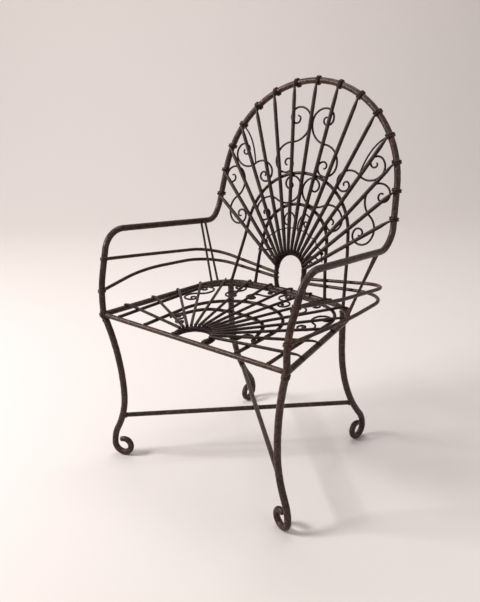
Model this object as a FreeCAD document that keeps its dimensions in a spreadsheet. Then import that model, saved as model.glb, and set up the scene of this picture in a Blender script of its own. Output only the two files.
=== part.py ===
import FreeCAD, Part
import math
import os
import Sketcher
from FreeCAD import Vector

# Garden armchair of bent and welded iron rod: a fan of spokes fills the seat and the round back,
# one long rod makes the front posts, the arms and the back hoop, and the legs end in curled feet.
# Z is up, the sitter faces -Y, and the origin is on the floor under the middle of the chair.

doc = FreeCAD.newDocument("garden_armchair")
sheet = doc.addObject("Spreadsheet::Sheet", "Dimensions")

SIZES = {
    # rod thicknesses
    "frame_rod": 17.0,
    "rim_rod": 15.0,
    "rail_rod": 13.0,
    "leg_rod": 18.0,
    "stretcher_rod": 13.0,
    "hub_rod": 12.0,
    "spoke_rod": 8.5,
    "arch_rod": 8.0,
    "side_rail_rod": 8.0,
    "strut_rod": 6.0,
    "scroll_rod": 4.5,
    "weld_gap": 0.1,
    "rail_gap": 0.7,
    # seat rim, seen from above and measured back from the front rail
    "seat_height": 430.0,
    "seat_half_width": 305.0,
    "seat_depth": 438.0,
    "rim_taper": 9.7,
    "rim_corner_radius": 120.0,
    "rim_back_radius": 850.0,
    # posts and arms
    "post_straight": 68.0,
    "post_lean_back": 52.0,
    "arm_front_half_width": 320.0,
    "arm_front_height": 652.0,
    "arm_rear_half_width": 293.0,
    "arm_rear_height": 600.0,
    "arm_rear_place": 445.0,
    "post_bend_radius": 250.0,
    "arm_front_bend_radius": 65.0,
    "arm_rear_bend_radius": 45.0,
    "hoop_foot_bend_radius": 80.0,
    # back hoop, measured up the leaning back from the top of the rim
    "back_lean": 15.0,
    "back_step_in": 14.0,
    "hoop_radius": 287.0,
    "hoop_centre": 300.0,
    "hoop_foot_rise": 36.77,
    "hoop_foot_spread": 9.0,
    # fan of the back
    "spoke_count": 15,
    "back_hub_radius": 47.0,
    "back_hub_centre": 62.0,
    "back_hub_first_angle": 6.0,
    "back_hub_kink": 34.0,
    "back_low_spoke_rise": 37.0,
    "back_spoke_reach": 6.0,
    "back_mid_arch_radius": 170.0,
    "back_mid_arch_centre": 163.0,
    "back_mid_arch_foot": 195.0,
    "back_mid_arch_kink": 130.0,
    "back_inner_arch_radius": 108.0,
    "back_inner_arch_centre": 138.0,
    "back_inner_arch_foot": 122.0,
    "back_inner_arch_kink": 85.0,
    "arch_kink_radius": 40.0,
    # fan of the seat
    "seat_hub_radius": 50.0,
    "seat_hub_centre": 26.0,
    "seat_hub_first_angle": 6.0,
    "seat_first_spoke": 74.0,
    "seat_fan_spread": 1.35,
    "seat_spoke_reach": 6.0,
    "seat_outer_arch_inset": 56.0,
    "seat_outer_arch_rear_inset": 30.0,
    "seat_outer_arch_taper": 4.0,
    "seat_outer_arch_corner_radius": 115.0,
    "seat_outer_arch_back_radius": 600.0,
    "seat_mid_arch_radius": 150.0,
    "seat_mid_arch_centre": 147.0,
    "seat_mid_arch_half_width": 152.0,
    "seat_inner_arch_setback": 88.0,
    "seat_inner_arch_depth": 208.0,
    "seat_inner_arch_taper": 20.0,
    "seat_inner_arch_corner_radius": 68.0,
    "seat_inner_arch_back_radius": 240.0,
    # legs, each in an upright plane of its own
    "front_leg_turn": 20.0,
    "front_leg_bow": 42.0,
    "front_leg_bow_height": 200.0,
    "front_leg_splay": 0.5,
    "front_leg_lower_bend": 111.0,
    "rear_leg_turn": 85.0,
    "rear_leg_half_width": 197.0,
    "rear_leg_bow": 3.0,
    "rear_leg_bow_height": 325.0,
    "rear_leg_splay": 105.0,
    "rear_leg_lower_bend": 70.0,
    "foot_ring_radius": 26.0,
    "foot_inner_radius": 23.0,
    "foot_curl_radius": 19.5,
    "foot_curl_end": 118.0,
    "foot_flat": 0.6,
    "stretcher_height": 128.0,
    # side rails and struts of each arm
    "upper_rail_height": 594.0,
    "upper_rail_bow": 12.0,
    "upper_rail_drop": 29.0,
    "upper_rail_corner_half_width": 312.0,
    "upper_rail_corner_height": 507.0,
    "upper_rail_corner_radius": 85.0,
    "upper_rail_hub_height": 476.0,
    "lower_rail_height": 496.0,
    "lower_rail_bow": 36.0,
    "lower_rail_drop": -6.0,
    "lower_rail_corner_half_width": 314.0,
    "lower_rail_corner_height": 482.0,
    "lower_rail_corner_radius": 110.0,
    "lower_rail_hub_height": 463.0,
    "rail_bow_place": 185.0,
    "rail_bow_radius": 500.0,
    "strut_top_place": 402.0,
    "strut_foot_place": 372.0,
    "strut_pitch": 16.0,
    # scrolls of the back: how each half of an S winds in, and where its two eyes are
    "scroll_quarters": 6,
    "scroll_shrink": 0.68,
    "scroll_upper_share": 0.53,
    "top_scroll_upper_across": 47.0,
    "top_scroll_upper_height": 480.0,
    "top_scroll_lower_across": 62.0,
    "top_scroll_lower_height": 358.0,
    "side_scroll_upper_across": 216.0,
    "side_scroll_upper_height": 376.0,
    "side_scroll_lower_across": 137.0,
    "side_scroll_lower_height": 317.0,
    "low_scroll_upper_across": 249.0,
    "low_scroll_upper_height": 297.0,
    "low_scroll_lower_across": 204.0,
    "low_scroll_lower_height": 194.0,
    "inner_scroll_upper_across": 39.0,
    "inner_scroll_upper_height": 295.5,
    "inner_scroll_lower_across": 112.0,
    "inner_scroll_lower_height": 210.5,
}

# How many flats stand for the round of each rod. Rods that repeat have fewer.
STRAIGHT_SIDES = 8
FRAME_SIDES = 8
RIM_SIDES = 8
LEG_SIDES = 8
HUB_SIDES = 4
ARCH_SIDES = 4
RAIL_SIDES = 4
SCROLL_SIDES = 4

# The tight curves of the legs and the scrolls are chords of this many degrees or less.
LEG_CHORD = 20
SCROLL_CHORD = 30

for row, (alias, value) in enumerate(SIZES.items(), start=1):
    sheet.set(f"A{row}", alias)
    sheet.set(f"B{row}", str(value))
    sheet.setAlias(f"B{row}", alias)
doc.recompute()


def size(alias):
    return float(sheet.get(alias))


def half(alias):
    return size(alias) / 2


def cell(alias):
    return f"<<Dimensions>>.{alias}"


lean = math.radians(size("back_lean"))
gap = size("weld_gap")
spoke_total = int(size("spoke_count"))
seat_height = size("seat_height")
rim_top = seat_height + half("rim_rod")
rim_underside = seat_height - half("rim_rod")

# The outer arch of the seat follows the rim at these distances inside it.
outer_arch_half_width = size("seat_half_width") - size("seat_outer_arch_inset")
outer_arch_depth = size("seat_depth") - size("seat_outer_arch_rear_inset")
outer_arch_depth_cell = f"{cell('seat_depth')} - {cell('seat_outer_arch_rear_inset')}"

# The chair's depth runs from the front of the legs to the rear of the hoop, and the origin halves it.
hoop_top = size("hoop_centre") + size("hoop_radius")
back_foot = size("seat_depth") - size("back_step_in")
frame_edge_reach = half("frame_rod") / math.cos(math.pi / FRAME_SIDES)
rearmost = (back_foot + hoop_top * math.sin(lean)
            + frame_edge_reach * math.cos(math.pi / FRAME_SIDES - lean))
front_turn = math.radians(size("front_leg_turn"))
leg_edge_reach = half("leg_rod") / math.cos(math.pi / LEG_SIDES)
foremost = (leg_edge_reach * math.cos(math.pi / LEG_SIDES - front_turn)
            + size("front_leg_splay") * math.sin(front_turn))
front_y = -(rearmost - foremost) / 2

# Layers of the seat: the spokes lie on the rim, and the hub, arches and scrolls hang under them.
seat_spoke_level = rim_top + half("spoke_rod") + gap
under_seat_spokes = seat_spoke_level - half("spoke_rod") - gap
seat_hub_level = under_seat_spokes - half("hub_rod")
seat_arch_level = under_seat_spokes - half("arch_rod")

# The back has a plane of its own through the hoop: its X runs across, its Y up the lean and its Z
# towards the sitter. Its spokes lie on the hoop, over the hub, the arches and the scrolls.
back_origin = Vector(0, front_y + back_foot, rim_top)
back_turn = FreeCAD.Rotation(Vector(1, 0, 0), 90 - size("back_lean"))
back_frame = FreeCAD.Placement(back_origin, back_turn)
back_spoke_level = half("frame_rod") + half("spoke_rod") + gap
behind_back_spokes = back_spoke_level - half("spoke_rod") - gap
back_hub_level = behind_back_spokes - half("hub_rod")
back_arch_level = behind_back_spokes - half("arch_rod")
back_scroll_level = behind_back_spokes - half("scroll_rod")


def seat_point(across, setback, height):
    return Vector(across, front_y + setback, height)


def back_point(across, up, level=0.0):
    return back_frame.multVec(Vector(across, up, level))


nodes = {}


def keep(label, feature):
    feature.Label = label
    nodes[label] = feature
    return feature


def keep_shape(label, shape):
    feature = doc.addObject("Part::Feature", label)
    feature.Shape = shape
    return keep(label, feature)


# Rods. A straight one is a prism between two points, and a bent one is a section swept along
# straight runs and tangent arcs. The flats are as far apart as the rod is thick, and one of them
# faces the given way.


def section_axes(axis, facing):
    across = axis.cross(facing).normalize()
    return across.cross(axis).normalize(), across


def straight_rod(name, start, end, rod_alias, facing):
    rod = doc.addObject("Part::Prism", name)
    rod.Polygon = STRAIGHT_SIDES
    rod.setExpression("Circumradius", f"{cell(rod_alias)} / 2 / cos(180 deg / {STRAIGHT_SIDES})")
    rod.Height = start.distanceToPoint(end)
    axis = (end - start).normalize()
    side, across = section_axes(axis, facing)
    turn = FreeCAD.Rotation(side, across * -1, axis, "ZXY")
    half_flat = FreeCAD.Rotation(Vector(0, 0, 1), 180 / STRAIGHT_SIDES)
    rod.Placement = FreeCAD.Placement(start, turn.multiply(half_flat))
    return rod


def swept_rod(edges, width, facing, sides):
    path = Part.Wire(edges)
    start = edges[0].firstVertex(True).Point
    side, across = section_axes(edges[0].tangentAt(edges[0].FirstParameter), facing)
    reach = width / 2 / math.cos(math.pi / sides)
    corners = []
    for index in range(sides):
        angle = 2 * math.pi * (index + 0.5) / sides
        corners.append(start + side * (reach * math.cos(angle)) + across * (reach * math.sin(angle)))
    outline = Part.makePolygon(corners + [corners[0]])
    return path.makePipeShell([outline], True, False, 1)


def arc_points(centre, radius, first, last, chord):
    # Points round a circle in the XY plane, from one angle to the other.
    steps = math.ceil(abs(last - first) / math.radians(chord))
    angles = [first + (last - first) * step / steps for step in range(steps + 1)]
    return [centre + Vector(math.cos(angle), math.sin(angle), 0) * radius for angle in angles]


def joined_points(stretches):
    points = list(stretches[0])
    for stretch in stretches[1:]:
        points += stretch[1:]
    return points


def rounded_run(points, radii):
    # Straight runs from point to point, with a tangent arc of its own radius in each inner corner.
    # Where the runs beside a corner are short, its arc has room up to their middles or their ends.
    edges = []
    here = points[0]
    last = len(points) - 2
    for number, radius in enumerate(radii, start=1):
        before, corner, after = points[number - 1:number + 2]
        room_before = before.distanceToPoint(corner) * (0.98 if number == 1 else 0.49)
        room_after = corner.distanceToPoint(after) * (0.98 if number == last else 0.49)
        inward = (before - corner).normalize()
        onward = (after - corner).normalize()
        turn = math.pi - inward.getAngle(onward)
        setback = min(radius * math.tan(turn / 2), room_before, room_after)
        radius = setback / math.tan(turn / 2)
        start = corner + inward * setback
        end = corner + onward * setback
        middle = corner + (inward + onward).normalize() * (radius / math.cos(turn / 2) - radius)
        edges.append(Part.makeLine(here, start))
        edges.append(Part.Arc(start, middle, end).toShape())
        here = end
    edges.append(Part.makeLine(here, points[-1]))
    return edges


def mirrored(shape):
    return shape.mirror(Vector(0, 0, 0), Vector(1, 0, 0))


def mirrored_point(point):
    return Vector(-point.x, point.y, point.z)


def point_along(edges, distance):
    for edge in edges:
        if distance <= edge.Length:
            return edge.valueAt(edge.getParameterByLength(distance))
        distance -= edge.Length
    return edges[-1].valueAt(edges[-1].LastParameter)


def crossing(edges, face):
    return Part.Wire(edges).distToShape(face)[1][0][0]


def level_plane(height):
    # A level plane wider than the chair.
    reach = size("arm_front_half_width") * 2
    return Part.makePlane(reach * 2, reach * 2, Vector(-reach, -reach, height))


def upright_plane(setback):
    reach = size("arm_front_height") * 2
    return Part.makePlane(reach * 2, reach * 2, seat_point(-reach, setback, -reach), Vector(0, 1, 0))


def fitted(rod, neighbours):
    # The rod without the ends that run into its neighbours, so that it meets their faces.
    return max(rod.cut(neighbours).Solids, key=lambda solid: solid.Volume)


def standing_on(rod, height):
    # The rod cut level at this height.
    reach = size("arm_front_half_width") * 2
    below = Part.makeBox(reach * 2, reach * 2, height, Vector(-reach, -reach, 0))
    return fitted(rod, [below])


# Sketched rods lie in one plane: a body holds the sketch of the path, which is drawn in the plane
# of the rod, a section across its first edge and the pipe between them.


def fix(sketch, kind, places, value, expression=None):
    number = sketch.addConstraint(Sketcher.Constraint(kind, *places, value))
    if expression:
        sketch.setExpression(f"Constraints[{number}]", expression)


def draw_section(sketch, rod_alias, sides, first_flat):
    # A regular outline with its corners on a circle and the rod's width over its flats.
    reach = half(rod_alias) / math.cos(math.pi / sides)
    angles = [math.radians(first_flat) + 2 * math.pi * (index + 0.5) / sides for index in range(sides)]
    corners = [Vector(reach * math.cos(angle), reach * math.sin(angle), 0) for angle in angles]
    for index in range(sides):
        sketch.addGeometry(Part.LineSegment(corners[index], corners[(index + 1) % sides]), False)
    ring = sketch.addGeometry(Part.Circle(Vector(0, 0, 0), Vector(0, 0, 1), reach), True)
    sketch.addConstraint(Sketcher.Constraint("Coincident", ring, 3, -1, 1))
    fix(sketch, "Radius", [ring], reach, f"{cell(rod_alias)} / 2 / cos(180 deg / {sides})")
    for index in range(sides):
        sketch.addConstraint(Sketcher.Constraint("Coincident", index, 2, (index + 1) % sides, 1))
        sketch.addConstraint(Sketcher.Constraint("PointOnObject", index, 1, ring))
        if index > 0:
            sketch.addConstraint(Sketcher.Constraint("Equal", 0, index))
    upright = "Vertical" if first_flat == 0 else "Horizontal"
    sketch.addConstraint(Sketcher.Constraint(upright, sides - 1))


def rod_body(name, placement, draw_path, rod_alias, sides, first_flat=90):
    # The first flat faces out of the path's plane at 90 degrees and lies in it at 0.
    body = doc.addObject("PartDesign::Body", name)
    body.Placement = placement
    plane = [item for item in body.Origin.OriginFeatures if item.Role == "XY_Plane"][0]
    path = body.newObject("Sketcher::SketchObject", name + "_path")
    path.AttachmentSupport = [(plane, "")]
    path.MapMode = "FlatFace"
    draw_path(path)
    doc.recompute()
    edge_names = [f"Edge{index + 1}" for index in range(len(path.Shape.Edges))]
    section = body.newObject("Sketcher::SketchObject", name + "_section")
    section.AttachmentSupport = [(path, "Edge1")]
    section.MapMode = "NormalToEdge"
    section.MapPathParameter = 0.0
    draw_section(section, rod_alias, sides, first_flat)
    doc.recompute()
    pipe = body.newObject("PartDesign::AdditivePipe", name + "_pipe")
    pipe.Profile = section
    pipe.Spine = (path, edge_names)
    pipe.Transition = "Right corner"
    body.Tip = pipe
    doc.recompute()
    return body


def placed_edges(body):
    # The edges of the body's path where they lie in the chair.
    edges = []
    for edge in body.Group[0].Shape.Edges:
        edge.Placement = body.Placement.multiply(edge.Placement)
        edges.append(edge)
    return edges


def horseshoe(half_width, setback, front_reach, depth, depth_cell, taper, corner_radius, back_radius):
    # Slanting sides, rounded corners and a shallow bow across the back. The taper and the radii
    # are aliases and the rest are lengths: the sides end at the front reach, and at the setback
    # they are as wide as the half width says.
    def draw(sketch):
        slant = math.radians(size(taper))
        corner = size(corner_radius)
        back = size(back_radius)
        spread = back - corner
        back_centre = Vector(0, depth - back, 0)
        # The corner's centre is one radius inside the slanted side and lies on the circle that
        # the back's arc leaves when it is drawn in by the corner's radius.
        offset = half_width + setback * math.tan(slant) - corner / math.cos(slant)
        slope = math.tan(slant)
        square = 1 + slope**2
        linear = offset * slope + back_centre.y
        rest = offset**2 + back_centre.y**2 - spread**2
        centre_y = (linear + math.sqrt(linear**2 - square * rest)) / square
        centre = Vector(offset - slope * centre_y, centre_y, 0)
        side_touch = centre + Vector(math.cos(slant), math.sin(slant), 0) * corner
        start_x = half_width + (setback - front_reach) * slope
        join = math.atan2(centre.y - back_centre.y, centre.x)
        up = Vector(0, 0, 1)
        right_circle = Part.Circle(centre, up, corner)
        left_circle = Part.Circle(Vector(-centre.x, centre.y, 0), up, corner)
        back_circle = Part.Circle(back_centre, up, back)
        left_touch = Vector(-side_touch.x, side_touch.y, 0)
        right_line = Part.LineSegment(Vector(start_x, front_reach, 0), side_touch)
        left_line = Part.LineSegment(left_touch, Vector(-start_x, front_reach, 0))
        right_arc = Part.ArcOfCircle(right_circle, slant, join)
        back_arc = Part.ArcOfCircle(back_circle, join, math.pi - join)
        left_arc = Part.ArcOfCircle(left_circle, math.pi - join, math.pi - slant)
        pieces = [sketch.addGeometry(item, False)
                  for item in (right_line, right_arc, back_arc, left_arc, left_line)]
        for before, after in zip(pieces, pieces[1:]):
            sketch.addConstraint(Sketcher.Constraint("Tangent", before, 2, after, 1))
        right, right_corner, rear, left_corner, left = pieces
        sketch.addConstraint(Sketcher.Constraint("Equal", right_corner, left_corner))
        sketch.addConstraint(Sketcher.Constraint("PointOnObject", rear, 3, -2))
        fix(sketch, "Radius", [right_corner], corner, cell(corner_radius))
        fix(sketch, "Radius", [rear], back, cell(back_radius))
        fix(sketch, "DistanceY", [-1, 1, rear, 3], back_centre.y, f"{depth_cell} - {cell(back_radius)}")
        fix(sketch, "DistanceX", [-1, 1, right, 1], start_x)
        fix(sketch, "DistanceX", [left, 2, -1, 1], start_x)
        fix(sketch, "DistanceY", [-1, 1, right, 1], front_reach)
        fix(sketch, "DistanceY", [-1, 1, left, 2], front_reach)

    return draw


def round_arch(radius_alias, centre_alias, foot, foot_level):
    # A round top between two straight legs that run into it.
    def draw(sketch):
        radius = size(radius_alias)
        centre = size(centre_alias)
        reach = math.hypot(foot, foot_level - centre)
        touch = math.atan2(foot_level - centre, foot) + math.acos(radius / reach)
        right_top = Vector(radius * math.cos(touch), centre + radius * math.sin(touch), 0)
        left_top = Vector(-right_top.x, right_top.y, 0)
        circle = Part.Circle(Vector(0, centre, 0), Vector(0, 0, 1), radius)
        right_line = Part.LineSegment(Vector(foot, foot_level, 0), right_top)
        left_line = Part.LineSegment(left_top, Vector(-foot, foot_level, 0))
        top_arc = Part.ArcOfCircle(circle, touch, math.pi - touch)
        right, top, left = [sketch.addGeometry(item, False) for item in (right_line, top_arc, left_line)]
        sketch.addConstraint(Sketcher.Constraint("Tangent", right, 2, top, 1))
        sketch.addConstraint(Sketcher.Constraint("Tangent", top, 2, left, 1))
        sketch.addConstraint(Sketcher.Constraint("PointOnObject", top, 3, -2))
        fix(sketch, "Radius", [top], radius, cell(radius_alias))
        fix(sketch, "DistanceY", [-1, 1, top, 3], centre, cell(centre_alias))
        fix(sketch, "DistanceX", [-1, 1, right, 1], foot)
        fix(sketch, "DistanceX", [left, 2, -1, 1], foot)
        fix(sketch, "DistanceY", [-1, 1, right, 1], foot_level)
        fix(sketch, "DistanceY", [-1, 1, left, 2], foot_level)

    return draw


def seat_layer(level):
    return FreeCAD.Placement(seat_point(0, 0, level), FreeCAD.Rotation())


# Seat rim, open to the front: its ends stand a little past the front rail to carry the posts.

rim_drawing = horseshoe(size("seat_half_width"), 0.0, -half("frame_rod"), size("seat_depth"),
                        cell("seat_depth"), "rim_taper", "rim_corner_radius", "rim_back_radius")
seat_rim = rod_body("seat_rim", seat_layer(seat_height), rim_drawing, "rim_rod", RIM_SIDES)
keep("seat_rim", seat_rim)
rim_edges = placed_edges(seat_rim)


def rim_point_beside(setback):
    # The rim's right-hand side at this distance behind the front rail.
    reach = size("seat_half_width") * 2
    line = Part.makeLine(seat_point(0, setback, seat_height), seat_point(reach, setback, seat_height))
    return crossing(rim_edges, line)


def rim_point_behind(across):
    # The rim's rear at this distance from the middle.
    middle = size("seat_depth") - size("rim_corner_radius")
    far = size("seat_depth") * 2
    line = Part.makeLine(seat_point(across, middle, seat_height), seat_point(across, far, seat_height))
    return crossing(rim_edges, line)


# Front rail: a straight rod between the two sides of the rim.

taper = math.radians(size("rim_taper"))
rim_inner_face = size("seat_half_width") - half("rim_rod") / math.cos(taper)
rail_end = rim_inner_face - half("rail_rod") * math.tan(taper) - gap
keep("seat_front_rail", straight_rod("seat_front_rail", seat_point(-rail_end, 0, seat_height),
                                     seat_point(rail_end, 0, seat_height), "rail_rod", Vector(0, 0, 1)))
behind_rail = half("rail_rod") + gap

# Legs: from the rim down, a bow towards the chair, a sweep outwards and a foot that curls up
# inside. Each is cut flat under the rim and where it stands on the floor.

ring_level = half("leg_rod") - size("foot_flat") + size("foot_ring_radius")
leg_top = rim_underside - gap


def leg_drawing(kind):
    # X runs inwards from under the leg's top and Y up from the floor. The rod is vertical at the
    # outside of the foot's ring and at the bow, and two arcs of opposite bend join those places.
    def draw(sketch):
        bow = size(kind + "_leg_bow")
        bow_height = size(kind + "_leg_bow_height")
        splay = size(kind + "_leg_splay")
        lower = size(kind + "_leg_lower_bend")
        ring = size("foot_ring_radius")
        inner = size("foot_inner_radius")
        curl = size("foot_curl_radius")
        rise = bow_height - ring_level
        turn = 2 * math.atan((bow + splay) / rise)
        middle = rise / math.sin(turn) - lower
        above = leg_top + half("leg_rod") - bow_height
        upper = (above**2 + bow**2) / (2 * bow)
        ring_centre = Vector(ring - splay, ring_level, 0)
        inner_centre = ring_centre + Vector(0, inner - ring, 0)
        curl_centre = inner_centre + Vector(inner - curl, 0, 0)
        curl_end = math.radians(size("foot_curl_end"))
        quarter = math.pi / 2
        points = joined_points([
            arc_points(curl_centre, curl, curl_end, 0, LEG_CHORD),
            arc_points(inner_centre, inner, 0, -quarter, LEG_CHORD),
            arc_points(ring_centre, ring, -quarter, -2 * quarter, LEG_CHORD),
            arc_points(Vector(lower - splay, ring_level, 0), lower, math.pi, math.pi - turn, LEG_CHORD / 2),
            arc_points(Vector(bow - middle, bow_height, 0), middle, -turn, 0, LEG_CHORD / 3),
            arc_points(Vector(bow - upper, bow_height, 0), upper, 0, math.asin(above / upper), LEG_CHORD / 3),
        ])
        draw_lines(sketch, points)

    return draw


def draw_lines(sketch, points):
    for start, end in zip(points, points[1:]):
        number = sketch.addGeometry(Part.LineSegment(start, end), False)
        if number > 0:
            sketch.addConstraint(Sketcher.Constraint("Coincident", number - 1, 2, number, 1))
    for number in range(len(points) - 1):
        sketch.addConstraint(Sketcher.Constraint("Block", number))


def draw_box(sketch, left, right, bottom, top):
    corners = [Vector(left, bottom, 0), Vector(right, bottom, 0), Vector(right, top, 0), Vector(left, top, 0)]
    for start, end in zip(corners, corners[1:] + corners[:1]):
        number = sketch.addGeometry(Part.LineSegment(start, end), False)
        sketch.addConstraint(Sketcher.Constraint("Block", number))


def leg(label, kind, foot_place, inward):
    upward = Vector(0, 0, 1)
    turn = FreeCAD.Rotation(inward, upward, inward.cross(upward), "XYZ")
    body = rod_body(label, FreeCAD.Placement(foot_place, turn), leg_drawing(kind), "leg_rod",
                    LEG_SIDES, 0)
    plane = [item for item in body.Origin.OriginFeatures if item.Role == "XY_Plane"][0]
    trim = body.newObject("Sketcher::SketchObject", label + "_trim")
    trim.AttachmentSupport = [(plane, "")]
    trim.MapMode = "FlatFace"
    reach = size(kind + "_leg_splay") + size(kind + "_leg_bow") + size("leg_rod") * 6
    draw_box(trim, -reach, reach, -size("leg_rod"), 0)
    draw_box(trim, -reach, reach, leg_top, leg_top + size("leg_rod") * 2)
    cut = body.newObject("PartDesign::Pocket", label + "_flats")
    cut.Profile = trim
    cut.Midplane = True
    cut.setExpression("Length", f"{cell('leg_rod')} * 2")
    body.Tip = cut
    doc.recompute()
    return keep(label, body)


def inward_from(side, turn):
    # Towards the middle from this side, turned back by this angle.
    angle = math.radians(turn)
    return Vector(-side * math.cos(angle), math.sin(angle), 0)


for side, word in ((-1, "left"), (1, "right")):
    corner = seat_point(side * size("seat_half_width"), 0, 0)
    leg(f"front_{word}_leg", "front", corner, inward_from(side, size("front_leg_turn")))
    rear_top = rim_point_behind(side * size("rear_leg_half_width"))
    rear_place = Vector(rear_top.x, rear_top.y, 0)
    leg(f"rear_{word}_leg", "rear", rear_place, inward_from(side, -size("rear_leg_turn")))

# Stretchers: two crossing rods between the legs, one lying on the other.


def leg_axis_point(label, height):
    body = nodes[label]
    upper_edges = [edge for edge in placed_edges(body) if edge.BoundBox.ZMax > height]
    return crossing(upper_edges, level_plane(height))


def between_legs(label, front_leg, rear_leg, height):
    rod = straight_rod(label + "_rod", leg_axis_point(front_leg, height), leg_axis_point(rear_leg, height),
                       "stretcher_rod", Vector(0, 0, 1))
    doc.recompute()
    return keep_shape(label, fitted(rod.Shape, [nodes[front_leg].Shape, nodes[rear_leg].Shape]))


between_legs("lower_stretcher", "front_left_leg", "rear_right_leg", size("stretcher_height"))
upper_stretcher_height = size("stretcher_height") + size("stretcher_rod") + gap
between_legs("upper_stretcher", "front_right_leg", "rear_left_leg", upper_stretcher_height)

# Arms and back hoop: one rod goes up the left post, back along the left arm, round the hoop and
# down the right side in the same way.

post_foot = seat_point(size("seat_half_width"), 0, rim_top + gap)
post_bend = post_foot + Vector(0, 0, size("post_straight"))
arm_front = seat_point(size("arm_front_half_width"), size("post_lean_back"), size("arm_front_height"))
arm_rear = seat_point(size("arm_rear_half_width"), size("arm_rear_place"), size("arm_rear_height"))
hoop_foot_up = (size("arm_rear_height") - rim_top) / math.cos(lean) + size("hoop_foot_rise")
hoop_foot_across = size("hoop_radius") + size("hoop_foot_spread")
hoop_foot = back_point(hoop_foot_across, hoop_foot_up)


def hoop_flat_point(angle):
    # On the round part of the hoop, in the back's own plane.
    radius = size("hoop_radius")
    return Vector(radius * math.cos(angle), size("hoop_centre") + radius * math.sin(angle), 0)


# The hoop's straight side starts above the rear end of the arm and runs into the round top at
# this angle.
foot_below_centre = hoop_foot_up - size("hoop_centre")
hoop_touch = math.atan2(foot_below_centre, hoop_foot_across)
hoop_touch += math.acos(size("hoop_radius") / math.hypot(hoop_foot_across, foot_below_centre))
halfway_up = (hoop_touch + math.pi / 2) / 2
hoop_shoulder = back_frame.multVec(hoop_flat_point(hoop_touch))
right_side = rounded_run(
    [post_foot, post_bend, arm_front, arm_rear, hoop_foot, hoop_shoulder],
    [size("post_bend_radius"), size("arm_front_bend_radius"), size("arm_rear_bend_radius"),
     size("hoop_foot_bend_radius")],
)
right_hoop = Part.Arc(hoop_shoulder, back_frame.multVec(hoop_flat_point(halfway_up)), back_point(0, hoop_top))
towards_sitter = back_turn.multVec(Vector(0, 0, 1))


def reversed_path(edges):
    # The same path from its other end, so that a sweep can start there.
    turned = []
    for edge in reversed(edges):
        first = edge.valueAt(edge.FirstParameter)
        last = edge.valueAt(edge.LastParameter)
        middle = edge.valueAt((edge.FirstParameter + edge.LastParameter) / 2)
        straight = edge.Curve.TypeId == "Part::GeomLine"
        turned.append(Part.makeLine(last, first) if straight else Part.Arc(last, middle, first).toShape())
    return turned


from_the_top = reversed_path(right_side + [right_hoop.toShape()])
right_half = swept_rod(from_the_top, size("frame_rod"), towards_sitter, FRAME_SIDES)
keep_shape("arm_and_back_hoop", right_half.fuse(mirrored(right_half)).removeSplitter())

# Back hub: a small horseshoe whose legs stand on the rim.


def back_arch_edges(radius, centre, foot, kink_height, level):
    # A round top in the back's plane, legs that spread to the kink, and from there to the rim.
    reach = math.hypot(foot, centre)
    touch = math.acos(radius / reach) - math.atan2(centre, foot)
    shoulder = (radius * math.cos(touch), centre + radius * math.sin(touch))
    share = kink_height / shoulder[1]
    kink_across = foot + (shoulder[0] - foot) * share
    right_kink = back_point(kink_across, kink_height, level)
    right_shoulder = back_point(shoulder[0], shoulder[1], level)
    on_rim = rim_point_behind(foot)
    into_rim = half("rim_rod")
    right_foot = Vector(on_rim.x, on_rim.y, rim_top - into_rim)
    right = rounded_run([right_foot, right_kink, right_shoulder], [size("arch_kink_radius")])
    points = [mirrored_point(point) for point in (right_shoulder, right_kink, right_foot)]
    left = rounded_run(points, [size("arch_kink_radius")])
    top = Part.Arc(right_shoulder, back_point(0, centre + radius, level), points[0]).toShape()
    return right + [top] + left


def standing_arch(label, edges, rod_alias, sides):
    rod = swept_rod(edges, size(rod_alias), towards_sitter, sides)
    return keep_shape(label, standing_on(rod, rim_top + gap))


hub_edges = back_arch_edges(size("back_hub_radius"), size("back_hub_centre"), size("back_hub_radius"),
                            size("back_hub_kink"), back_hub_level)
standing_arch("back_hub", hub_edges, "hub_rod", HUB_SIDES)
mid_edges = back_arch_edges(size("back_mid_arch_radius"), size("back_mid_arch_centre"),
                            size("back_mid_arch_foot"), size("back_mid_arch_kink"), back_arch_level)
standing_arch("back_mid_arch", mid_edges, "arch_rod", ARCH_SIDES)
inner_edges = back_arch_edges(size("back_inner_arch_radius"), size("back_inner_arch_centre"),
                              size("back_inner_arch_foot"), size("back_inner_arch_kink"), back_arch_level)
standing_arch("back_inner_arch", inner_edges, "arch_rod", ARCH_SIDES)

# Back spokes: their inner ends lie round the hub and their outer ends evenly along the hoop.

flat_foot = Vector(hoop_foot_across, hoop_foot_up, 0)
flat_shoulder = hoop_flat_point(hoop_touch)
flat_side = Part.makeLine(flat_foot, flat_shoulder)
flat_top = Part.Arc(flat_shoulder, hoop_flat_point(halfway_up), Vector(0, hoop_top, 0)).toShape()
hoop_half_length = flat_side.Length + flat_top.Length
low_place = size("back_low_spoke_rise")


def fan_angle(first_angle, index):
    first = math.radians(size(first_angle))
    return first + (math.pi - 2 * first) * index / (spoke_total - 1)


for index in range(spoke_total):
    from_right = min(index, spoke_total - 1 - index)
    mirror = 1 if index <= (spoke_total - 1) / 2 else -1
    share = from_right / ((spoke_total - 1) / 2)
    outer = point_along([flat_side, flat_top], low_place + (hoop_half_length - low_place) * share)
    angle = fan_angle("back_hub_first_angle", from_right)
    inner = Vector(size("back_hub_radius") * math.cos(angle),
                   size("back_hub_centre") + size("back_hub_radius") * math.sin(angle), 0)
    run = (outer - inner).normalize()
    end = outer + run * size("back_spoke_reach")
    start_point = back_point(mirror * inner.x, inner.y, back_spoke_level)
    end_point = back_point(mirror * end.x, end.y, back_spoke_level)
    label = f"back_spoke_{index + 1:02d}"
    keep(label, straight_rod(label, start_point, end_point, "spoke_rod", towards_sitter))

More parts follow.
